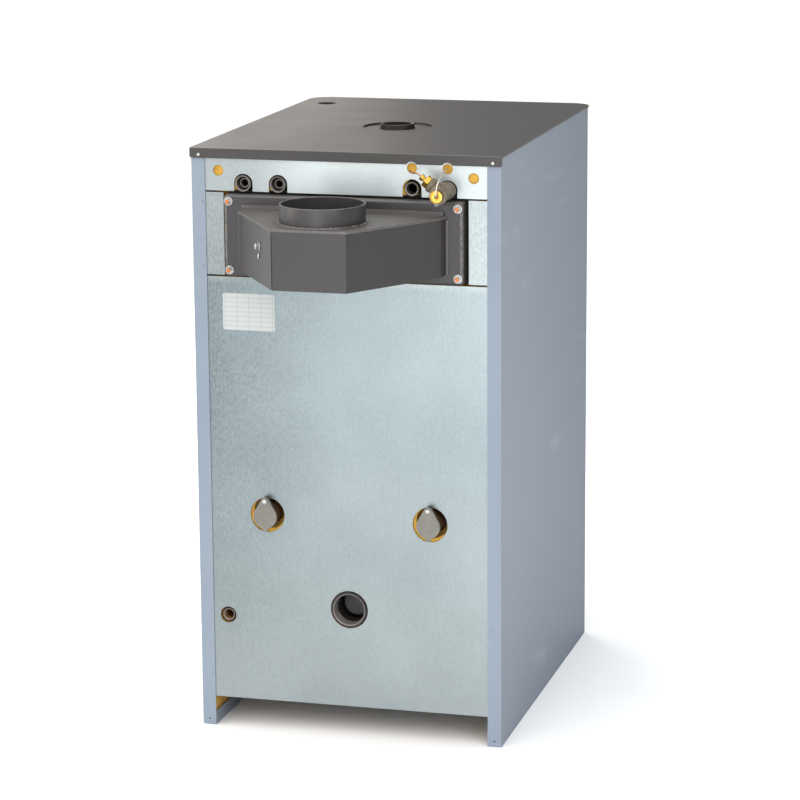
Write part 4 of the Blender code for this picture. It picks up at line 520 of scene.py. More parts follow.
socket_z = centre_of("coil_socket_outer").z
outer_x = centre_of("coil_socket_outer").x
inner_x = centre_of("coil_socket_inner").x
drain_at = centre_of("drain_socket")
pan_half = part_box("flue_box")[1].x
air_x, air_z = 0.1505, 0.4025
seam_top, seam_low = 0.985, 0.835
seam_ends = (-0.276, 0.276)
cuts = [slot_knife(seam_ends, 0.036, (seam_top - 0.012, seam_top + 0.0015)),
        slot_knife(seam_ends, 0.032, (seam_low - 0.012, seam_low + 0.0035))]
for x in (outer_x, inner_x, -inner_x, -outer_x):
    cuts.append(pocket_knife(x - 0.006, socket_z + 0.001, 0.0170, 0.024))
    cuts.append(slot_knife((x - 0.022, x + 0.008), 0.024, (seam_top, socket_z)))
for side in (1, -1):
    cuts.append(slot_knife((side * (pan_half - 0.012), side * (pan_half + 0.012)), 0.030,
                           (seam_low + 0.004, seam_top)))
for side in (1, -1):
    cuts.append(pocket_knife(side * air_x - 0.004, air_z + 0.005, 0.0275, 0.030))
cuts.append(pocket_knife(drain_at.x, drain_at.z, 0.0170, 0.016))
wool_slab("wool_rear", 0.0042, cuts)
for node in ("wool_top", "wool_right", "wool_left"):
    wool_slab(node, 0.007)


# Side panels
# Steel sheet folded in at the back, front and top, with a lip turned up along the floor. They are
# powder coated blue-grey, and the coat has a fine orange-peel skin and a few rub marks.
blue_grey_coat, place = new_finish("blue_grey_coat", {"Specular IOR Level": 0.3})
skin = place.blotches(0.0016, 2)
haze = place.blotches(0.22, 3)
rubs = place.blotches(0.05, 5, (1, 0.25, 1)).between(0.62, 0.8)
# Painted shade: the coat is painted darker towards the front of the casing and lighter towards its rear.
painted_light_rearward = place.part("y").between(-0.42, 0.22)
feed(blue_grey_coat,
     colour=(haze * 0.4 + rubs * 0.2 + 0.03 + painted_light_rearward * 0.5).blend((90, 103, 119), (136, 146, 157)),
     roughness=0.4 + haze * 0.12 - rubs * 0.08, normal=skin.relief(0.06, 0.0004))
dress("side_panel_right", blue_grey_coat, 0.0006)
dress("side_panel_left", blue_grey_coat, 0.0006)


# Rear sheets
# Hot-dip galvanised sheet: a large lower panel, two fillers beside the flue and a strip above it.
# The zinc shows a small spangle, drawn out by the rolling, and fine upright scratches.
galvanised, place = new_finish("galvanised_sheet", {"Metallic": 0.85})
grain = place.blotches(0.0075, 5, (2.6, 2.6, 1))
spangle = place.blotches(0.0022, 2, (1, 1, 0.6))
brushing = place.blotches(0.05, 6, (38, 38, 1))
patches = place.blotches(0.16, 3)
across, height = place.part("x"), place.part("z")
fillers = height.between(0.82, 0.83)
upper = height.between(0.15, 0.55)
# Painted shade: the +X side of the lower panel is painted darker from near the floor to above mid-height.
painted_shade_zone = across.between(0.02, 0.26) * height.between(0.06, 0.58) * (1 - fillers)
# Painted light: the lower part towards -X is painted lighter.
clear = (1 - across.between(-0.24, -0.04)) * (1 - upper)
fleck = spangle * 0.3 + grain * 0.6 - 0.45
tone = fleck * (painted_shade_zone * 0.9 + fillers * 0.9 + 0.55) + brushing * 0.16 + patches * 0.35 + 0.26
# Painted light and shade on the fillers: the one at -X is painted lighter and the one at +X darker.
tone = tone - painted_shade_zone * 0.34 + clear * 0.10 + fillers * (0.22 - across.between(-0.1, 0.1) * 0.28)
# Painted reflection: towards the bottom the zinc shifts to the warmer pair of colours, a painted reflection
# of the pale floor. The fillers take the warmer pair too.
feed(galvanised,
     colour=(upper - fillers).blend(tone.blend((106, 114, 115), (170, 178, 179)),
                                    tone.blend((106, 117, 121), (170, 182, 185))),
     roughness=0.22 + spangle * 0.08 + grain * 0.08 + patches * 0.06,
     normal=(grain * 0.6 + brushing * 0.4).relief(0.08, 0.0003))
strip_zinc, place = new_finish("strip_zinc", {"Metallic": 0.45})
grain = place.blotches(0.0075, 5, (2.6, 2.6, 1))
across = place.part("x")
# Painted light and shade: the strip is painted lighter across its middle and darker towards +X.
middle = across.between(-0.13, -0.04) * (1 - across.between(0.05, 0.16))
tone = grain * 0.4 + place.blotches(0.12, 3) * 0.3 + 0.12 + middle * 0.31 - across.between(0.05, 0.2) * 0.42
feed(strip_zinc, colour=tone.blend((150, 158, 159), (212, 219, 219)), roughness=0.26 + grain * 0.06)


def arc(x, y, radius, start, end, steps):
    """Points on a round between two angles in degrees, with both ends."""
    angles = [math.radians(start + (end - start) * step / steps) for step in range(steps + 1)]
    return [(x + radius * math.cos(angle), y + radius * math.sin(angle)) for angle in angles]


def circle(x, y, radius, sides=72):
    """Loop of a round hole or disc."""
    return arc(x, y, radius, 0, 360, sides)[:-1]


def rectangle(low_x, high_x, low_y, high_y):
    return [(low_x, low_y), (high_x, low_y), (high_x, high_y), (low_x, high_y)]


def to_mesh(drawing, threshold):
    """Make a mesh of a drawn curve."""
    piece = bpy.data.objects.new(drawing.name, drawing)
    bpy.context.collection.objects.link(piece)
    pick(piece)
    bpy.ops.object.convert(target="MESH")
    merge(threshold)
    return bpy.context.object


def cut_sheet(name, loops, thickness, stand):
    """Cut a flat sheet by its outline and then its holes, and stand it in place."""
    drawing = bpy.data.curves.new(name, "CURVE")
    drawing.dimensions = "2D"
    drawing.fill_mode = "BOTH"
    drawing.extrude = thickness / 2
    for loop in loops:
        spline = drawing.splines.new("POLY")
        spline.points.add(len(loop) - 1)
        for point, (across, up) in zip(spline.points, loop):
            point.co = (across, up, 0, 1)
        spline.use_cyclic_u = True
    sheet = to_mesh(drawing, 0.000005)
    sheet.data.transform(stand)
    bpy.ops.object.shade_smooth_by_angle(angle=math.radians(30))
    return sheet


def upright(middle_y):
    """Stand for a loop drawn in x and z, centred on a y."""
    return Matrix.Translation((0, middle_y, 0)) @ Matrix.Rotation(math.pi / 2, 4, "X")


def rear_sheet(node, holes, outline=None, finish=galvanised):
    low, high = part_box(node)
    loops = [outline or rectangle(low.x, high.x, low.z, high.z)] + holes
    sheet = cut_sheet(node + "_zinc", loops, high.y - low.y, upright((low.y + high.y) / 2))
    stands_for(sheet, finish, node)


air_hole, return_hole, drain_hole = 0.0318, 0.0345, 0.015
wool_hole, capillary_hole = 0.0095, 0.009
rear_sheet("rear_lower_panel", [circle(air_x, air_z, air_hole), circle(-air_x, air_z, air_hole),
                                circle(return_at.x, return_at.z, return_hole),
                                circle(drain_at.x, drain_at.z, drain_hole)])
rear_sheet("rear_filler_left", [])
rear_sheet("rear_filler_right", [])

casing_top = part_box("side_panel_right")[1].z
wool_hole_x, wool_hole_z = 0.231, casing_top - 0.0365
capillary_z = casing_top - 0.0215
slot_half = 0.017
low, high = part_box("rear_upper_strip")
strip = [(low.x, low.z)]
for x in (-outer_x, -inner_x, inner_x, outer_x):
    strip.append((x - slot_half, low.z))
    strip += arc(x, socket_z, slot_half, 180, 0, 24)
    strip.append((x + slot_half, low.z))
strip += [(high.x, low.z), (high.x, high.z), (low.x, high.z)]
strip_holes = [circle(side * wool_hole_x, wool_hole_z, wool_hole) for side in (-1, 1)]
strip_holes += [circle(-x, capillary_z, capillary_hole) for x in (inner_x, outer_x)]
rear_sheet("rear_upper_strip", strip_holes, strip, strip_zinc)


# Blank data plate
# White coated foil stuck on the lower panel, ruled into empty boxes.
plate_x, plate_z = 0.179, 0.771
plate_width, plate_height, plate_corner = 0.096, 0.066, 0.003
foil, place = new_finish("plate_foil", {"Roughness": 0.45})
centred = place.node("Mapping", {}, {"Vector": place, "Location": (-plate_x, 0, -plate_z)})
facing_back = place.node("Mapping", {}, {"Vector": centred, "Rotation": (math.pi / 2, 0, 0)})
rulings = place.node("TexBrick", {"offset": 0.0, "squash": 1.0},
                     {"Vector": facing_back, "Scale": 1.0, "Mortar Size": 0.0005, "Brick Width": 0.022,
                      "Row Height": 0.0085}, 1)
feed(foil, colour=(rulings * 0.45).blend((174, 177, 177), (112, 117, 120)))


def rounded_loop(low_x, high_x, low_y, high_y, radii, steps=8):
    """Rectangle with its own corner radius at low-low, high-low, high-high and low-high."""
    corners = ((low_x, low_y, 1, 1, 180), (high_x, low_y, -1, 1, 270), (high_x, high_y, -1, -1, 0),
               (low_x, high_y, 1, -1, 90))
    loop = []
    for radius, (x, y, side, rise, start) in zip(radii, corners):
        loop += arc(x + side * radius, y + rise * radius, radius, start, start + 90, steps)
    return loop


plate_loop = rounded_loop(plate_x - plate_width / 2, plate_x + plate_width / 2, plate_z - plate_height / 2,
                          plate_z + plate_height / 2, [plate_corner] * 4, 6)
panel_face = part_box("rear_lower_panel")[1].y
plate = cut_sheet("blank_data_plate", [plate_loop], 0.0003, upright(panel_face + 0.00025))
adds(plate, foil)


# Top cover
# Anthracite cover of thick sheet with round front corners, its back edge turned down into a notched
# lip. The coat is a fine-textured powder, wiped crosswise, and the lip's fold is rubbed paler.
anthracite_coat, place = new_finish("anthracite_coat", {})
powder = place.blotches(0.0011, 3)
wiping = place.blotches(0.014, 5, (0.07, 1, 1))
wear = place.blotches(0.12, 4)
feed(anthracite_coat, colour=(powder * 0.3 + wiping * 0.5 + wear * 0.3).blend((42, 40, 39), (59, 56, 53)),
     roughness=0.40 + wear * 0.12, normal=powder.relief(0.22, 0.0004))
rubbed_edge = mottled("rubbed_edge", {}, (96, 95, 96), (134, 132, 131), 0.010, 5, (0.36, 0.12),
                      stretch=(0.3, 1, 1))


def flat(middle_z):
    """Stand for a loop drawn in x and y, centred on a z."""
    return Matrix.Translation((0, 0, middle_z))


def round_edges(piece, width, segments=3, edge_finish=-1):
    """Round the sharp edges of a finished mesh, if need be with a finish of their own."""
    work(piece, "BEVEL", width=width, segments=segments, material=edge_finish, limit_method="ANGLE",
         angle_limit=sharp_edge)
    pick(piece)
    bpy.ops.object.shade_smooth_by_angle(angle=math.radians(35))
    work(piece, "WEIGHTED_NORMAL", keep_sharp=True)


low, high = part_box("top_cover")
cover_sheet, lip_sheet = 0.003, 0.0025
front_corner, rear_corner = 0.040, 0.0035
flow_at = centre_of("flow_socket")
regulator_at = centre_of("regulator_socket")
cover_loop = rounded_loop(low.x, high.x, low.y, high.y - 0.0002,
                          (front_corner, front_corner, rear_corner, rear_corner))
cover_holes = [circle(flow_at.x, flow_at.y, 0.0635, 96), circle(regulator_at.x, regulator_at.y, 0.018)]
cover = cut_sheet("top_cover_pressing", [cover_loop] + cover_holes, cover_sheet,
                  flat(high.z - cover_sheet / 2))
notch = capillary_hole + 0.0025
notch_start = math.degrees(math.asin((low.z - capillary_z) / notch))
lip_top = high.z - 0.0004
lip_loop = [(low.x, lip_top)] + arc(low.x + rear_corner, low.z + rear_corner, rear_corner, 180, 270, 6)
for x in (-outer_x, -inner_x):
    lip_loop += arc(x, capillary_z, notch, 180 - notch_start, notch_start, 16)
lip_loop += arc(high.x - rear_corner, low.z + rear_corner, rear_corner, 270, 360, 6) + [(high.x, lip_top)]
lip = cut_sheet("cover_lip", [lip_loop], lip_sheet, upright(high.y - lip_sheet / 2))
join_or_cut(cover, "UNION", lip)
round_edges(cover, 0.0009)
stands_for(cover, anthracite_coat, "top_cover")
cover.data.materials.append(rubbed_edge)
fold = 0.0012
for face in cover.data.polygons:
    if face.center.z > high.z - fold and face.center.y > high.y - fold and abs(face.normal.x) < 0.5:
        face.material_index = 1


# Flow rosette
# Flat ring of the same coated sheet, lying under the cover to close the gap round the flow socket.
rosette = cut_sheet("flow_rosette", [circle(flow_at.x, flow_at.y, 0.073, 96),
                                     circle(flow_at.x, flow_at.y, 0.0330, 64)], 0.0012, flat(low.z + 0.0142))
round_edges(rosette, 0.0003, 1)
adds(rosette, anthracite_coat)


# Casing screws
# Pressed pan-head screws with a cross recess hold the rear flanges and the lip of the cover. Those
# in the flanges are coated with the panels, and those in the lip are bright zinc.
bright_zinc = mottled("bright_zinc", {"Metallic": 1.0}, (158, 158, 155), (212, 212, 208), 0.002, 4,
                      (0.24, 0.2))
screw_coat = mottled("screw_coat", {"Roughness": 0.35}, (127, 138, 149), (146, 156, 165), 0.002)
shadow_black = mottled("shadow_black", {"Roughness": 0.9}, (14, 14, 15), (26, 26, 28), 0.002)


def joined(*pieces):
    """Keep several meshes together as one piece."""
    pick(*pieces)
    bpy.ops.object.join()
    return pieces[0]


def cross_screw(name, centre):
    """Pan head standing on a face that looks to the rear."""
    head = turn(name, ease([(0, 0), (0.0031, 0), (0.0031, 0.0006), (0.0021, 0.0015), (0, 0.0017)], 0.0006),
                (0, 0, 0), upward, 32)
    middle = Vector((0, 0, 0.0020))
    for reach in (Vector((0.00035, 0.0016, 0.0012)), Vector((0.0016, 0.00035, 0.0012))):
        join_or_cut(head, "DIFFERENCE", block(middle - reach, middle + reach))
    set_down(head, centre, rearward)
    return head


def screw_set(name, places, finish):
    """One screw copied to each place and kept together as a set."""
    first = cross_screw(name, places[0])
    copies = []
    for spot in places[1:]:
        other = first.copy()
        other.data = first.data.copy()
        other.data.transform(Matrix.Translation(spot - places[0]))
        bpy.context.collection.objects.link(other)
        copies.append(other)
    adds(joined(first, *copies), finish)


flange_places = [at(side * 0.262, 0, z) for side in (-1, 1) for z in (0.968, 0.852, 0.219, 0.0985)]
lip_places = [Vector((side * 0.2655, high.y, 1.0497)) for side in (-1, 1)]
screw_set("flange_screws", flange_places, screw_coat)
screw_set("lip_screws", lip_places, bright_zinc)
for side, name in ((1, "right"), (-1, "left")):
    hole = turn("flange_hole_" + name, ring(0, 0.0016, -0.0002, 0.0001, 0.0001), at(side * 0.2675, 0, 0.011),
                rearward, 24)
    adds(hole, shadow_black)


# Flue outlet
# Black box of welded sheet on a pressed pan, with a rolled collar welded on top. The seams are
# ground only roughly, and the stove paint is a satin black that has dulled.
def stove_paint(name, dark, pale, dust_size, cloud_size, least_rough):
    finish, place = new_finish(name, {})
    dust = place.blotches(dust_size, 5)
    cloud = place.blotches(cloud_size, 4)
    feed(finish, colour=(dust * 0.4 + cloud * 0.6).blend(dark, pale), roughness=least_rough + cloud * 0.14,
         normal=dust.relief(0.10, 0.0005))
    return finish


flue_black = stove_paint("flue_black", (45, 43, 44), (57, 54, 54), 0.004, 0.07, 0.33)
# Paler, rougher black for the lid, the faces that look up and the root seams: dust, and a painted highlight
# on the upward faces and the ridge.
dust_and_highlight_black = stove_paint("dust_and_highlight_black", (72, 69, 67), (98, 94, 90), 0.005, 0.06, 0.42)
# Paler black for the edges, the collar's rim, the pan's side folds and the collar bead: worn paint, and a
# painted highlight where they catch the light.
worn_and_highlit_black, place = new_finish("worn_and_highlit_black", {})
chips = place.blotches(0.005, 6)
feed(worn_and_highlit_black, colour=chips.between(0.35, 0.65).blend((66, 63, 62), (108, 103, 99)),
     roughness=0.36 + chips * 0.2, normal=chips.relief(0.25, 0.0005))
soot_and_shade_black = mottled("soot_and_shade_black", {"Roughness": 0.85}, (26, 25, 25), (50, 48, 48), 0.008, 6,
                     relief=(0.5, 0.0008))

box_bottom, box_top = 0.854, 0.958
flue = copy_of("flue_box", "flue_box_weldment")
edit((bpy.ops.mesh.dissolve_limited, {"angle_limit": same_plane}))
stands_for(flue, flue_black, "flue_box")
flue.data.materials.append(worn_and_highlit_black)
flue.data.materials.append(dust_and_highlight_black)
round_edges(flue, 0.0012, 2, 1)
for face in flue.data.polygons:
    # The pan's side folds take the paler black: worn paint and a painted highlight.
    if abs(face.center.x) > pan_half - 0.006 and 0.25 < face.normal.y < 0.97:
        face.material_index = 1
    # Faces that look up and the ridge behind the lid take the paler black: dust and a painted highlight.
    elif face.normal.z > 0.4 or (face.center.z > box_top + 0.0005 and face.center.y > rear_y + 0.0165):
        face.material_index = 2

collar_low, collar_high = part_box("flue_collar")
collar_at = centre_of("flue_collar")
collar_radius = (collar_high.x - collar_low.x) / 2
collar_inner = collar_radius - 0.003
collar_height = collar_high.z - collar_low.z
collar = turn("flue_collar_rolled", ring(collar_inner, collar_radius, 0, collar_height, 0.0009),
              (collar_at.x, collar_at.y, collar_low.z), upward, 128)
stands_for(collar, flue_black, "flue_collar")
collar.data.materials.append(worn_and_highlit_black)
collar.data.materials.append(soot_and_shade_black)
for face in collar.data.polygons:
    # The rim takes the paler black: worn paint and a painted highlight.
    if face.center.z > collar_high.z - 0.0008:
        face.material_index = 1
    elif math.hypot(face.center.x - collar_at.x, face.center.y - collar_at.y) < collar_inner + 0.0008:
        face.material_index = 2


def round_line(name, radius, resolution):
    """Start the drawing of a bead, wire or thin tube."""
    line = bpy.data.curves.new(name, "CURVE")
    line.dimensions = "3D"
    line.bevel_depth = radius
    line.bevel_resolution = resolution
    line.use_fill_caps = True
    return line


def bead(name, route, width, seed, finish, closed=False):
    """Rippled weld bead along a route."""
    ripple = random.Random(seed)
    points = []
    for start, end in zip(route, route[1:] + route[:1] if closed else route[1:]):
        count = max(1, round((end - start).length / 0.0022))
        points += [start.lerp(end, step / count) for step in range(count)]
    if not closed:
        points.append(route[-1])
    seam = round_line(name, width / 2, 2)
    spline = seam.splines.new("POLY")
    spline.points.add(len(points) - 1)
    for point, place in zip(spline.points, points):
        point.co = (*place, 1)
        point.radius = ripple.uniform(0.75, 1.15)
    spline.use_cyclic_u = closed
    run = to_mesh(seam, 0.000005)
    bpy.ops.object.shade_smooth()
    adds(run, finish)


front_half, knee_half, root_half = 0.0655, 0.1805, 0.1865
front_y, knee_y, root_y = rear_y + 0.219, rear_y + 0.042, rear_y + 0.016
lap = 0.0010
lid_sheet = 0.0044
lid_half = [(root_half - 0.004, root_y + 0.0004), (root_half + lap, root_y + 0.0004),
            (knee_half + lap, knee_y + lap), (front_half + lap, front_y + lap)]
lid_loop = lid_half + [(-x, y) for x, y in reversed(lid_half)]
lid = cut_sheet("flue_lid", [lid_loop, circle(collar_at.x, collar_at.y, collar_inner, 128)], lid_sheet,
                flat(box_top + 0.0005 - lid_sheet / 2))
# The lid takes the paler black: dust and a painted highlight on its top.
adds(lid, dust_and_highlight_black)
lid.data.materials.append(worn_and_highlit_black)
# The lid's rounded edges take the paler black: worn paint and a painted highlight along the edge.
round_edges(lid, 0.0011, 3, 1)
collar_foot = circle(collar_at.x, collar_at.y, collar_radius + 0.0008, 96)
bead("collar_bead", [Vector((x, y, box_top + 0.0012)) for x, y in collar_foot], 0.0052, 3, worn_and_highlit_black, True)
seam_foot = box_bottom + 0.002
for side, name in ((1, "right"), (-1, "left")):
    corner_x, corner_y = side * (front_half - 0.0002), front_y - 0.0002
    # The corner seam on the +X side takes the near-black, a painted shade. The one on the -X side keeps the
    # stove paint.
    bead("corner_seam_" + name, [Vector((corner_x, corner_y, z)) for z in (box_top - 0.005, seam_foot)],
         0.0022, 9 + side, soot_and_shade_black if side > 0 else flue_black)
    root_x = side * (root_half + 0.001)
    bead("root_seam_" + name, [Vector((root_x, root_y, z)) for z in (box_top - 0.006, seam_foot)],
         0.0056, 13 + side, dust_and_highlight_black)


# Flue gasket
# Flat ring of fibre board, pinched between the pan and the flange of the smoke duct. Its near-black colour is
# a painted shade where its edge shows in the gaps beside the pan.
gasket_fibre = mottled("gasket_fibre", {"Roughness": 0.95}, (34, 33, 32), (62, 60, 58), 0.0015, 4,
                       relief=(0.6, 0.0006))
dress("flue_gasket", gasket_fibre)


# Flue studs
# Coppered steel studs welded to the duct flange, each with a zinc washer and a hexagon nut that
# pulls the pan down on its gasket.
coppered = mottled("coppered_thread", {"Metallic": 1.0}, (150, 76, 40), (228, 142, 88), 0.002, 3, (0.3, 0.2))
plated, place = new_finish("plated_nut", {"Metallic": 1.0})
dulling = place.blotches(0.0024, 4)
feed(plated, colour=dulling.between(0.3, 0.7).blend((96, 98, 98), (196, 197, 194)),
     roughness=0.2 + dulling * 0.2)


def with_finish(piece, finish):
    piece.data.materials.append(finish)
    return piece


def hexagon(name, radius, bore, height, centre, along):
    """Nut with both faces chamfered."""
    flat_radius, edge = radius * 0.9, radius * 0.07
    outline = [(bore, 0), (flat_radius, 0), (radius, edge), (radius, height - edge), (flat_radius, height),
               (bore, height)]
    return turn(name, outline, centre, along, 6, 20)


stud_radius, stud_core, stud_pitch = 0.0038, 0.0033, 0.00125
stud_hole, washer_sheet = 0.0041, 0.0015
for node in ("flue_stud_left_lower", "flue_stud_left_upper", "flue_stud_right_lower",
             "flue_stud_right_upper"):
    middle = centre_of(node)
    low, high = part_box(node)
    seat = at(middle.x, -0.0163, middle.z)
    washer = turn(node + "_set", ring(stud_hole, 0.0077, 0, washer_sheet, 0.0004), seat, rearward, 40)
    nut = hexagon("nut", 0.0066, stud_hole, 0.0055, seat + rearward * washer_sheet, rearward)
    length, foot = high.y - seat.y, low.y - seat.y
    thread = [(0, length), (0.0030, length), (stud_radius, length - 0.0008)]
    for count in range(int(length / stud_pitch) - 1):
        height = length - 0.0012 - count * stud_pitch
        thread += [(stud_core, height), (stud_radius, height - 0.0006)]
    stud = turn("stud", thread + [(stud_radius, foot), (0, foot)], seat, rearward, 32)
    stud_set = joined(with_finish(washer, bright_zinc), with_finish(nut, plated), with_finish(stud, coppered))
    stands_for(stud_set, None, node)


# Flue test plug
# Zinc hexagon plug with a washer in the test hole of the oblique wall, and a split pin under it.
def drawn_wire(name, route, radius):
    """Wire or thin tube along a smooth curve through a route."""
    path = round_line(name, radius, 3)
    path.resolution_u = 8
    spline = path.splines.new("BEZIER")
    spline.bezier_points.add(len(route) - 1)
    for point, place in zip(spline.bezier_points, route):
        point.co = place
        point.handle_left_type = "AUTO"
        point.handle_right_type = "AUTO"
    wire = to_mesh(path, 0.000002)
    bpy.ops.object.shade_smooth()
    return wire


knee = Vector((knee_half, knee_y, 0.906))
down_wall = (Vector((front_half, front_y, 0.906)) - knee).normalized()
outward = Vector((down_wall.y, -down_wall.x, 0))
plug_at = knee + down_wall * 0.136 + upward * 0.0125
plug = joined(turn("flue_test_plug_set", ring(0, 0.0075, 0.0003, 0.0016, 0.0004), plug_at, outward, 40),
              hexagon("plug_head", 0.0060, 0.0001, 0.006, plug_at + outward * 0.0016, outward))
stands_for(plug, bright_zinc, "flue_test_plug")
pin_at = plug_at - upward * 0.0175 + outward * 0.0012
pin_reach = upward * 0.0042
pin = drawn_wire("test_plug_pin", [pin_at + pin_reach, pin_at + outward * 0.0008, pin_at - pin_reach], 0.0014)
adds(pin, bright_zinc)


# Gauge tee
# Malleable iron tee screwed on the gauge socket: a beaded run, and a branch that leans up to the
# side. The casting is rough and has begun to rust to a warm brown.
tee_iron, place = new_finish("tee_iron", {"Metallic": 0.5})
pits = place.blotches(0.0022, 6)
stain = place.blotches(0.009, 4)
feed(tee_iron, colour=(stain * 0.7 + pits * 0.4).blend((52, 47, 43), (150, 136, 118)),
     roughness=0.45 + pits * 0.3, normal=pits.relief(0.7, 0.0007))
tee_x = -outer_x
lean = math.radians(38)
branch_along = Vector((math.cos(lean), 0, math.sin(lean)))
tee_length, run_radius, run_bead = 0.068, 0.0140, 0.0157
run_outline = [(0, 0), (run_bead, 0), (run_bead, 0.010), (run_radius, 0.0115),
               (run_radius, tee_length - 0.0115), (run_bead, tee_length - 0.010), (run_bead, tee_length),
               (0, tee_length)]
tee = turn("gauge_tee_casting", ease(run_outline, 0.0012), at(tee_x, -0.0003, socket_z), rearward)
branch_start = at(tee_x, -0.040, socket_z)
branch_outline = [(0, 0), (0.0120, 0), (0.0120, 0.0185), (0.0135, 0.020), (0.0135, 0.027), (0, 0.027)]
join_or_cut(tee, "UNION", turn("branch", ease(branch_outline, 0.001), branch_start, branch_along))
work(tee, "REMESH", mode="VOXEL", voxel_size=0.0007)
work(tee, "SMOOTH", iterations=4, factor=0.5)
bpy.ops.object.shade_smooth()
stands_for(tee, tee_iron, "gauge_tee")


# Immersion well
# Turned brass pocket for the thermometer feeler, screwed into the end of the tee. Its round head is
# bored for the feeler and has a groove at its neck for the clip.
brass = mottled("brass", {"Metallic": 1.0}, (172, 126, 40), (230, 192, 100), 0.0012, 4, (0.16, 0.18))
well_neck, well_head, well_bore = 0.007, 0.011, 0.003
well_outline = [(0, 0), (well_neck, 0), (well_neck, 0.004), (well_head, 0.004), (well_head, 0.012),
                (well_bore, 0.012), (well_bore, 0.004), (0, 0.004)]
well = turn("immersion_well_head", ease(well_outline, 0.0009), at(tee_x, -0.0689, socket_z), rearward)
stands_for(well, brass, "immersion_well")


# Gauge gland
# Brass hexagon, neck and union nut on the branch of the tee, where the pressure capillary is held.
gland_start = branch_start + branch_along * 0.0276
gland = hexagon("gauge_gland_set", 0.0116, 0.0001, 0.0095, gland_start, branch_along)
neck = turn("neck", ring(0, 0.0042, 0, 0.004, 0.0003), gland_start + branch_along * 0.009, branch_along, 32)
union_nut = hexagon("union_nut", 0.0060, 0.0013, 0.006, gland_start + branch_along * 0.013, branch_along)
stands_for(joined(gland, neck, union_nut), brass, "gauge_gland")


# Capillaries and well clip
# Two drawn tubes as thin as wire run from the tee, through the upper strip and over the jacket, to
# the gauge: copper for the pressure, pale steel for the temperature. Spring wire clips the feeler.
copper = mottled("copper", {"Metallic": 1.0}, (150, 92, 58), (214, 152, 110), 0.003, 4, (0.3, 0.15))
pale_steel = mottled("pale_steel", {"Metallic": 0.8}, (186, 178, 162), (226, 220, 206), 0.003, 4, (0.3, 0.15))


def over_jacket(x, z, side, last_bend, end_x):
    """Way of a capillary from the rear plane over the jacket and down to the back of the gauge."""
    level = [at(x, depth, z) for depth in (0, 0.0133, 0.690, 0.7023)]
    return level + [at(x + side * 0.004, 0.714, z - 0.012), at(x + side * 0.012, 0.714, 1.0058),
                    at(x + side * last_bend, 0.714, 0.9998), at(end_x, 0.714, 0.9963)]


x, z = -0.118, 1.0315
gland_end = branch_start + branch_along * 0.0469
copper_route = [gland_end, gland_end + branch_along * 0.006 - rearward * 0.001,
                at(x - 0.012, -0.024, z + 0.0005), at(x - 0.003, -0.010, z)]
copper_route += over_jacket(x, z, -1, 0.020, -0.142)
stands_for(drawn_wire("copper_capillary_tube", copper_route, 0.0012), copper, "copper_capillary")
x, z = tee_x, 1.0385
steel_route = [at(x, -0.0769, socket_z), at(x, -0.0839, socket_z), at(-0.187, -0.0899, 1.0065),
               at(-0.188, -0.0859, 1.0182), at(-0.187, -0.0509, 1.0322), at(x, -0.012, z - 0.001)]
steel_route += over_jacket(x, z, 1, 0.018, -0.162)
stands_for(drawn_wire("steel_capillary_tube", steel_route, 0.0014), pale_steel,
           "steel_capillary")

clip_centre = at(tee_x, -0.0709, socket_z)
ring_radius, loop_reach, loop_half = 0.0083, 0.0165, 0.00225


def round_well(radius, degrees, shift=0.0):
    """Point beside the neck of the well."""
    angle = math.radians(degrees)
    sideways = Vector((-math.sin(angle), 0, math.cos(angle))) * shift
    return clip_centre + Vector((math.cos(angle), 0, math.sin(angle))) * radius + sideways


def clip_loop(degrees):
    """Loop of the clip that stands out from its ring."""
    foot, shoulder = ring_radius + 0.0007, loop_reach - loop_half
    places = ((foot, loop_half), (shoulder, loop_half), (loop_reach, 0), (shoulder, -loop_half),
              (foot, -loop_half))
    return [round_well(radius, degrees, shift) for radius, shift in places]


clip_route = [round_well(ring_radius, degrees) for degrees in range(210, 31, -20)] + clip_loop(5)
clip_route += [round_well(ring_radius, degrees) for degrees in (-25, -50)] + clip_loop(-82)
stands_for(drawn_wire("well_clip_wire", clip_route, 0.0007), bright_zinc, "well_clip")


# Secondary air inlets
# Cast tubes into the fire box end in a teardrop seat. A stamped grey cover of the same outline
# hangs from one rivet and swings aside to let air in.
cast_grey, place = new_finish("cast_grey", {"Metallic": 0.55})
grain = place.blotches(0.0016, 5)
smears = place.blotches(0.012, 4)
feed(cast_grey, colour=(grain * 0.5 + smears * 0.5).blend((91, 88, 82), (138, 135, 129)),
     roughness=0.42 + grain * 0.2, normal=grain.relief(0.35, 0.0004))
seat_iron = mottled("seat_iron", {"Metallic": 0.4}, (48, 38, 30), (98, 74, 52), 0.003, 5, (0.6, 0.2),
                    (0.5, 0.0006))
disc_radius, eye_radius, eye_rise = 0.0215, 0.0072, 0.0280
seat_face, seat_plate, cover_plate = 0.0095, 0.006, 0.004
tube_bore, tube_radius, rivet_radius = 0.0165, 0.020, 0.005
tab_half = 0.005
tab_loop = [(-tab_half, -0.0208), (-tab_half, -0.0262), (-0.0037, -0.0275), (0.0037, -0.0275),
            (tab_half, -0.0262), (tab_half, -0.0208)]


def teardrop(x, tab):
    """Loop of a disc drawn up to a small eye, with or without a finger tab below."""
    lean = math.degrees(math.asin((disc_radius - eye_radius) / eye_rise))
    disc = arc(0, 0, disc_radius, 180 - lean, 360 + lean, 48)
    if tab:
        below = [point for point in disc if abs(point[0]) < tab_half and point[1] < 0]
        start = disc.index(below[0])
        disc[start:start + len(below)] = tab_loop
    eye = arc(x, air_z + eye_rise, eye_radius, lean, 180 - lean, 12)
    return eye + [(x + across, air_z + up) for across, up in disc]


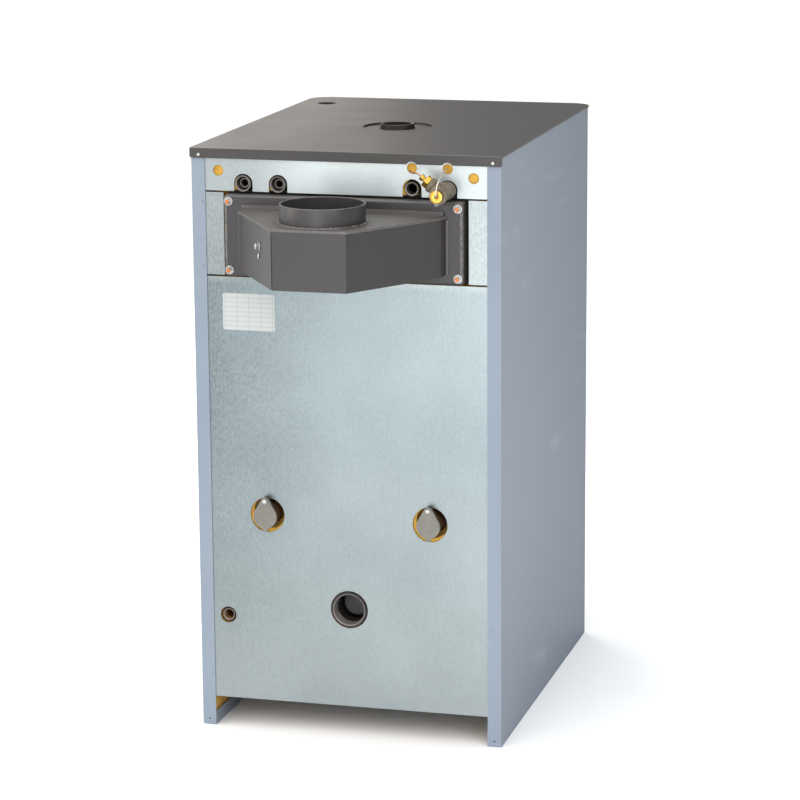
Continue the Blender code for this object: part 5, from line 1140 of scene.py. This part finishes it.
for side, name in ((1, "right"), (-1, "left")):
    x = side * air_x
    seat = cut_sheet("air_inlet_" + name + "_casting", [teardrop(x, False), circle(x, air_z, tube_bore)],
                     seat_plate, upright(rear_y + seat_face - seat_plate / 2))
    round_edges(seat, 0.0008)
    tube_start = at(x, seat_plate - seat_face, air_z)
    tube_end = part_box("air_inlet_" + name)[0].y - tube_start.y
    tube = turn("tube", [(tube_bore, 0), (tube_radius, 0), (tube_radius, tube_end), (tube_bore, tube_end)],
                tube_start, rearward)
    stands_for(joined(seat, tube), seat_iron, "air_inlet_" + name)
    cover_back = rear_y + seat_face + 0.0003
    flap = cut_sheet("air_cover_" + name + "_stamping", [teardrop(x, True)], cover_plate,
                     upright(cover_back + cover_plate / 2))
    round_edges(flap, 0.0009)
    stands_for(flap, cast_grey, "air_cover_" + name)
    dome_start = cover_back + cover_plate + 0.0002
    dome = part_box("air_rivet_" + name)[1].y - dome_start
    rivet_outline = [(0, dome)]
    rivet_outline += [(rivet_radius * across, dome * up) for across, up in arc(0, 0, 1, 90, 0, 8)[1:]]
    rivet = turn("air_rivet_" + name + "_head", rivet_outline + [(0, 0)], (x, dome_start, air_z + eye_rise),
                 rearward, 32)
    stands_for(rivet, bright_zinc, "air_rivet_" + name)


# Fascia and gauge
# A coated sheet above the doors holds a round gauge for pressure and temperature: black case, bright
# rim, white dial with plain scale marks, one needle for each half, and a pane of glass.
dress("front_fascia", blue_grey_coat, 0.0004)
gauge_case = mottled("gauge_case", {}, (24, 24, 25), (40, 40, 41), 0.002, 3, (0.35, 0.15))
dial_white = mottled("dial_white", {"Roughness": 0.5}, (226, 226, 222), (240, 240, 236), 0.02)
scale_black = mottled("scale_black", {"Roughness": 0.5}, (18, 18, 19), (32, 32, 33), 0.004)
needle_red = mottled("needle_red", {"Roughness": 0.4}, (168, 28, 24), (196, 40, 32), 0.004)
pane, place = new_finish("gauge_pane", {"Base Color": (1, 1, 1, 1), "Alpha": 0.10})
feed(pane, roughness=0.02 + place.blotches(0.012, 4) * 0.05)

gauge_low, gauge_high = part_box("thermo_gauge")
gauge_at = centre_of("thermo_gauge")
rim_face = Vector((gauge_at.x, gauge_low.y, gauge_at.z))
case_end = gauge_low.y - gauge_high.y
forward = Vector((0, -1, 0))
case_radius, case_bore = 0.0285, 0.0266
case_outline = [(0, case_end), (case_radius, case_end), (case_radius, -0.0057), (case_bore, -0.0057),
                (case_bore, -0.0036), (0, -0.0036)]
rim_outline = [(0.0268, -0.0056), (0.0325, -0.0056), (0.0325, -0.0014), (0.0310, 0), (0.0284, 0),
               (0.0268, -0.0022)]
gauge = turn("thermo_gauge_set", ease(case_outline, 0.0005), rim_face, forward, 96)
rim = turn("rim", ease(rim_outline, 0.0006), rim_face, forward, 96)
dial = turn("dial", ring(0, 0.0267, -0.0035, -0.0029, 0.0001), rim_face, forward, 96)
glass = turn("glass", ring(0, 0.0270, -0.0010, -0.0005, 0.0001), rim_face, forward, 96)
hub = turn("hub", ring(0, 0.0028, -0.0029, -0.0014, 0.0003), rim_face, forward, 32)


def stroke(degrees, inner, outer, width):
    """Loop of a mark or needle that points away from the middle of the dial."""
    along = Vector((math.cos(math.radians(degrees)), math.sin(math.radians(degrees))))
    across = Vector((-along.y, along.x)) * width / 2
    start = Vector((gauge_at.x, gauge_at.z)) + along * inner
    end = Vector((gauge_at.x, gauge_at.z)) + along * outer
    tip = across * 0.6
    return [tuple(corner) for corner in (start + across, start - across, end - tip, end + tip)]


def needle(name, degrees, depth):
    return cut_sheet(name, [stroke(degrees, -0.006, 0.0195, 0.0016)], 0.0003, upright(gauge_low.y + depth))


scale_marks = []
for start in (20, 200):
    for count in range(29):
        inner, width = (0.0190, 0.0009) if count % 7 == 0 else (0.0212, 0.0004)
        scale_marks.append(stroke(start + count * 5, inner, 0.0236, width))
marks = cut_sheet("marks", scale_marks, 0.0001, upright(gauge_low.y + 0.0028))
gauge_parts = ((gauge, gauge_case), (rim, bright_zinc), (dial, dial_white), (marks, scale_black),
               (needle("warm_needle", 128, 0.0022), needle_red),
               (needle("water_needle", 242, 0.0018), scale_black), (hub, scale_black), (glass, pane))
gauge = joined(*[with_finish(piece, finish) for piece, finish in gauge_parts])
stands_for(gauge, None, "thermo_gauge")


# Doors
# Pressed steel pans, coated anthracite, each with a shallow raised field and an insulating block
# inside. Each swings on a headed rod through welded knuckles.
door_liner = mottled("door_liner", {"Roughness": 0.95}, (150, 140, 122), (205, 196, 178), 0.004, 6,
                     relief=(0.5, 0.001))
door_depth = rear_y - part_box("loading_door")[0].y
for node, field_low, field_high in (("loading_door", 0.548, 0.822), ("ash_door", 0.252, 0.460)):
    dress(node, anthracite_coat, 0.0008)
    dress(node + "_liner", door_liner, 0.002)
    field_loop = rounded_loop(-0.178, 0.132, field_low, field_high, [0.018] * 4)
    field = cut_sheet(node + "_field", [field_loop], 0.0024, upright(rear_y - door_depth - 0.0006))
    round_edges(field, 0.0016, 4)
    adds(field, anthracite_coat, body_of(frame["nodes"][node])[0])
rod_radius, rod_head, head_length = 0.005, 0.009, 0.006
for node in ("loading_hinge_rod", "ash_hinge_rod"):
    low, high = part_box(node)
    length = high.z - low.z
    shank = length - head_length
    rod_outline = [(0, 0), (rod_radius, 0), (rod_radius, shank), (rod_head, shank), (rod_head, length),
                   (0, length)]
    rod = turn(node + "_turned", ease(rod_outline, 0.0014), (centre_of(node).x, centre_of(node).y, low.z),
               upward, 48)
    stands_for(rod, bright_zinc, node)


# Latch handles
# A steel spindle through the ear of the door carries the latch tongue behind and a lever in front,
# with a black moulded grip pressed on the end of the lever.
black_grip = mottled("black_grip", {"Coat Weight": 0.2}, (22, 22, 23), (34, 34, 35), 0.0015, 3, (0.38, 0.12))
latch_x, lever_x = 0.239, 0.154
lever_length = latch_x - lever_x
lever_depth, tongue_depth = door_depth + 0.020, door_depth - 0.0342
collar_outline = [(0, 0), (0.009, 0), (0.009, 0.0185), (0.0070, 0.0262), (0, 0.0262)]
lever_outline = [(0, 0), (0.0065, 0), (0.0052, lever_length), (0, lever_length)]
grip_outline = [(0, 0), (0.0105, 0), (0.0122, 0.006), (0.0140, 0.026), (0.0128, 0.042), (0.0080, 0.050),
                (0, 0.050)]
for node, z in (("loading_handle", 0.685), ("ash_handle", 0.3075)):
    spindle = turn(node + "_set", ring(0, 0.005, 0, lever_depth - tongue_depth, 0.0003),
                   at(latch_x, tongue_depth, z), forward, 32)
    collar = turn("latch_collar", ease(collar_outline, 0.0012), at(latch_x, door_depth + 0.0003, z),
                  forward, 48)
    lever = turn("lever", ease(lever_outline, 0.0008), at(latch_x, lever_depth, z), (-1, 0, 0), 40)
    grip = turn("grip", ease(grip_outline, 0.003), at(lever_x, door_depth + 0.005, z), forward, 64)
    tongue = cut_sheet("tongue", [rectangle(latch_x - 0.005, latch_x + 0.005, z - 0.0165, z + 0.005)], 0.008,
                       upright(rear_y - tongue_depth - 0.004))
    round_edges(tongue, 0.0006)
    steel = [with_finish(piece, bright_zinc) for piece in (spindle, collar, lever, tongue)]
    handle = joined(*steel[:3], with_finish(grip, black_grip), steel[3])
    stands_for(handle, None, node)


# Primary air flap
# Stamped flap that hangs over the air opening of the ash door, rolled round a loose pin at its upper
# edge, with an eye for the regulator's chain.
dress("air_flap", anthracite_coat, 0.0006)
low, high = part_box("air_flap_pin")
pin_at = centre_of("air_flap_pin")
pin = turn("air_flap_pin_turned", ring(0, 0.003, 0, high.x - low.x, 0.0008), (low.x, pin_at.y, pin_at.z),
           (1, 0, 0), 32)
stands_for(pin, bright_zinc, "air_flap_pin")
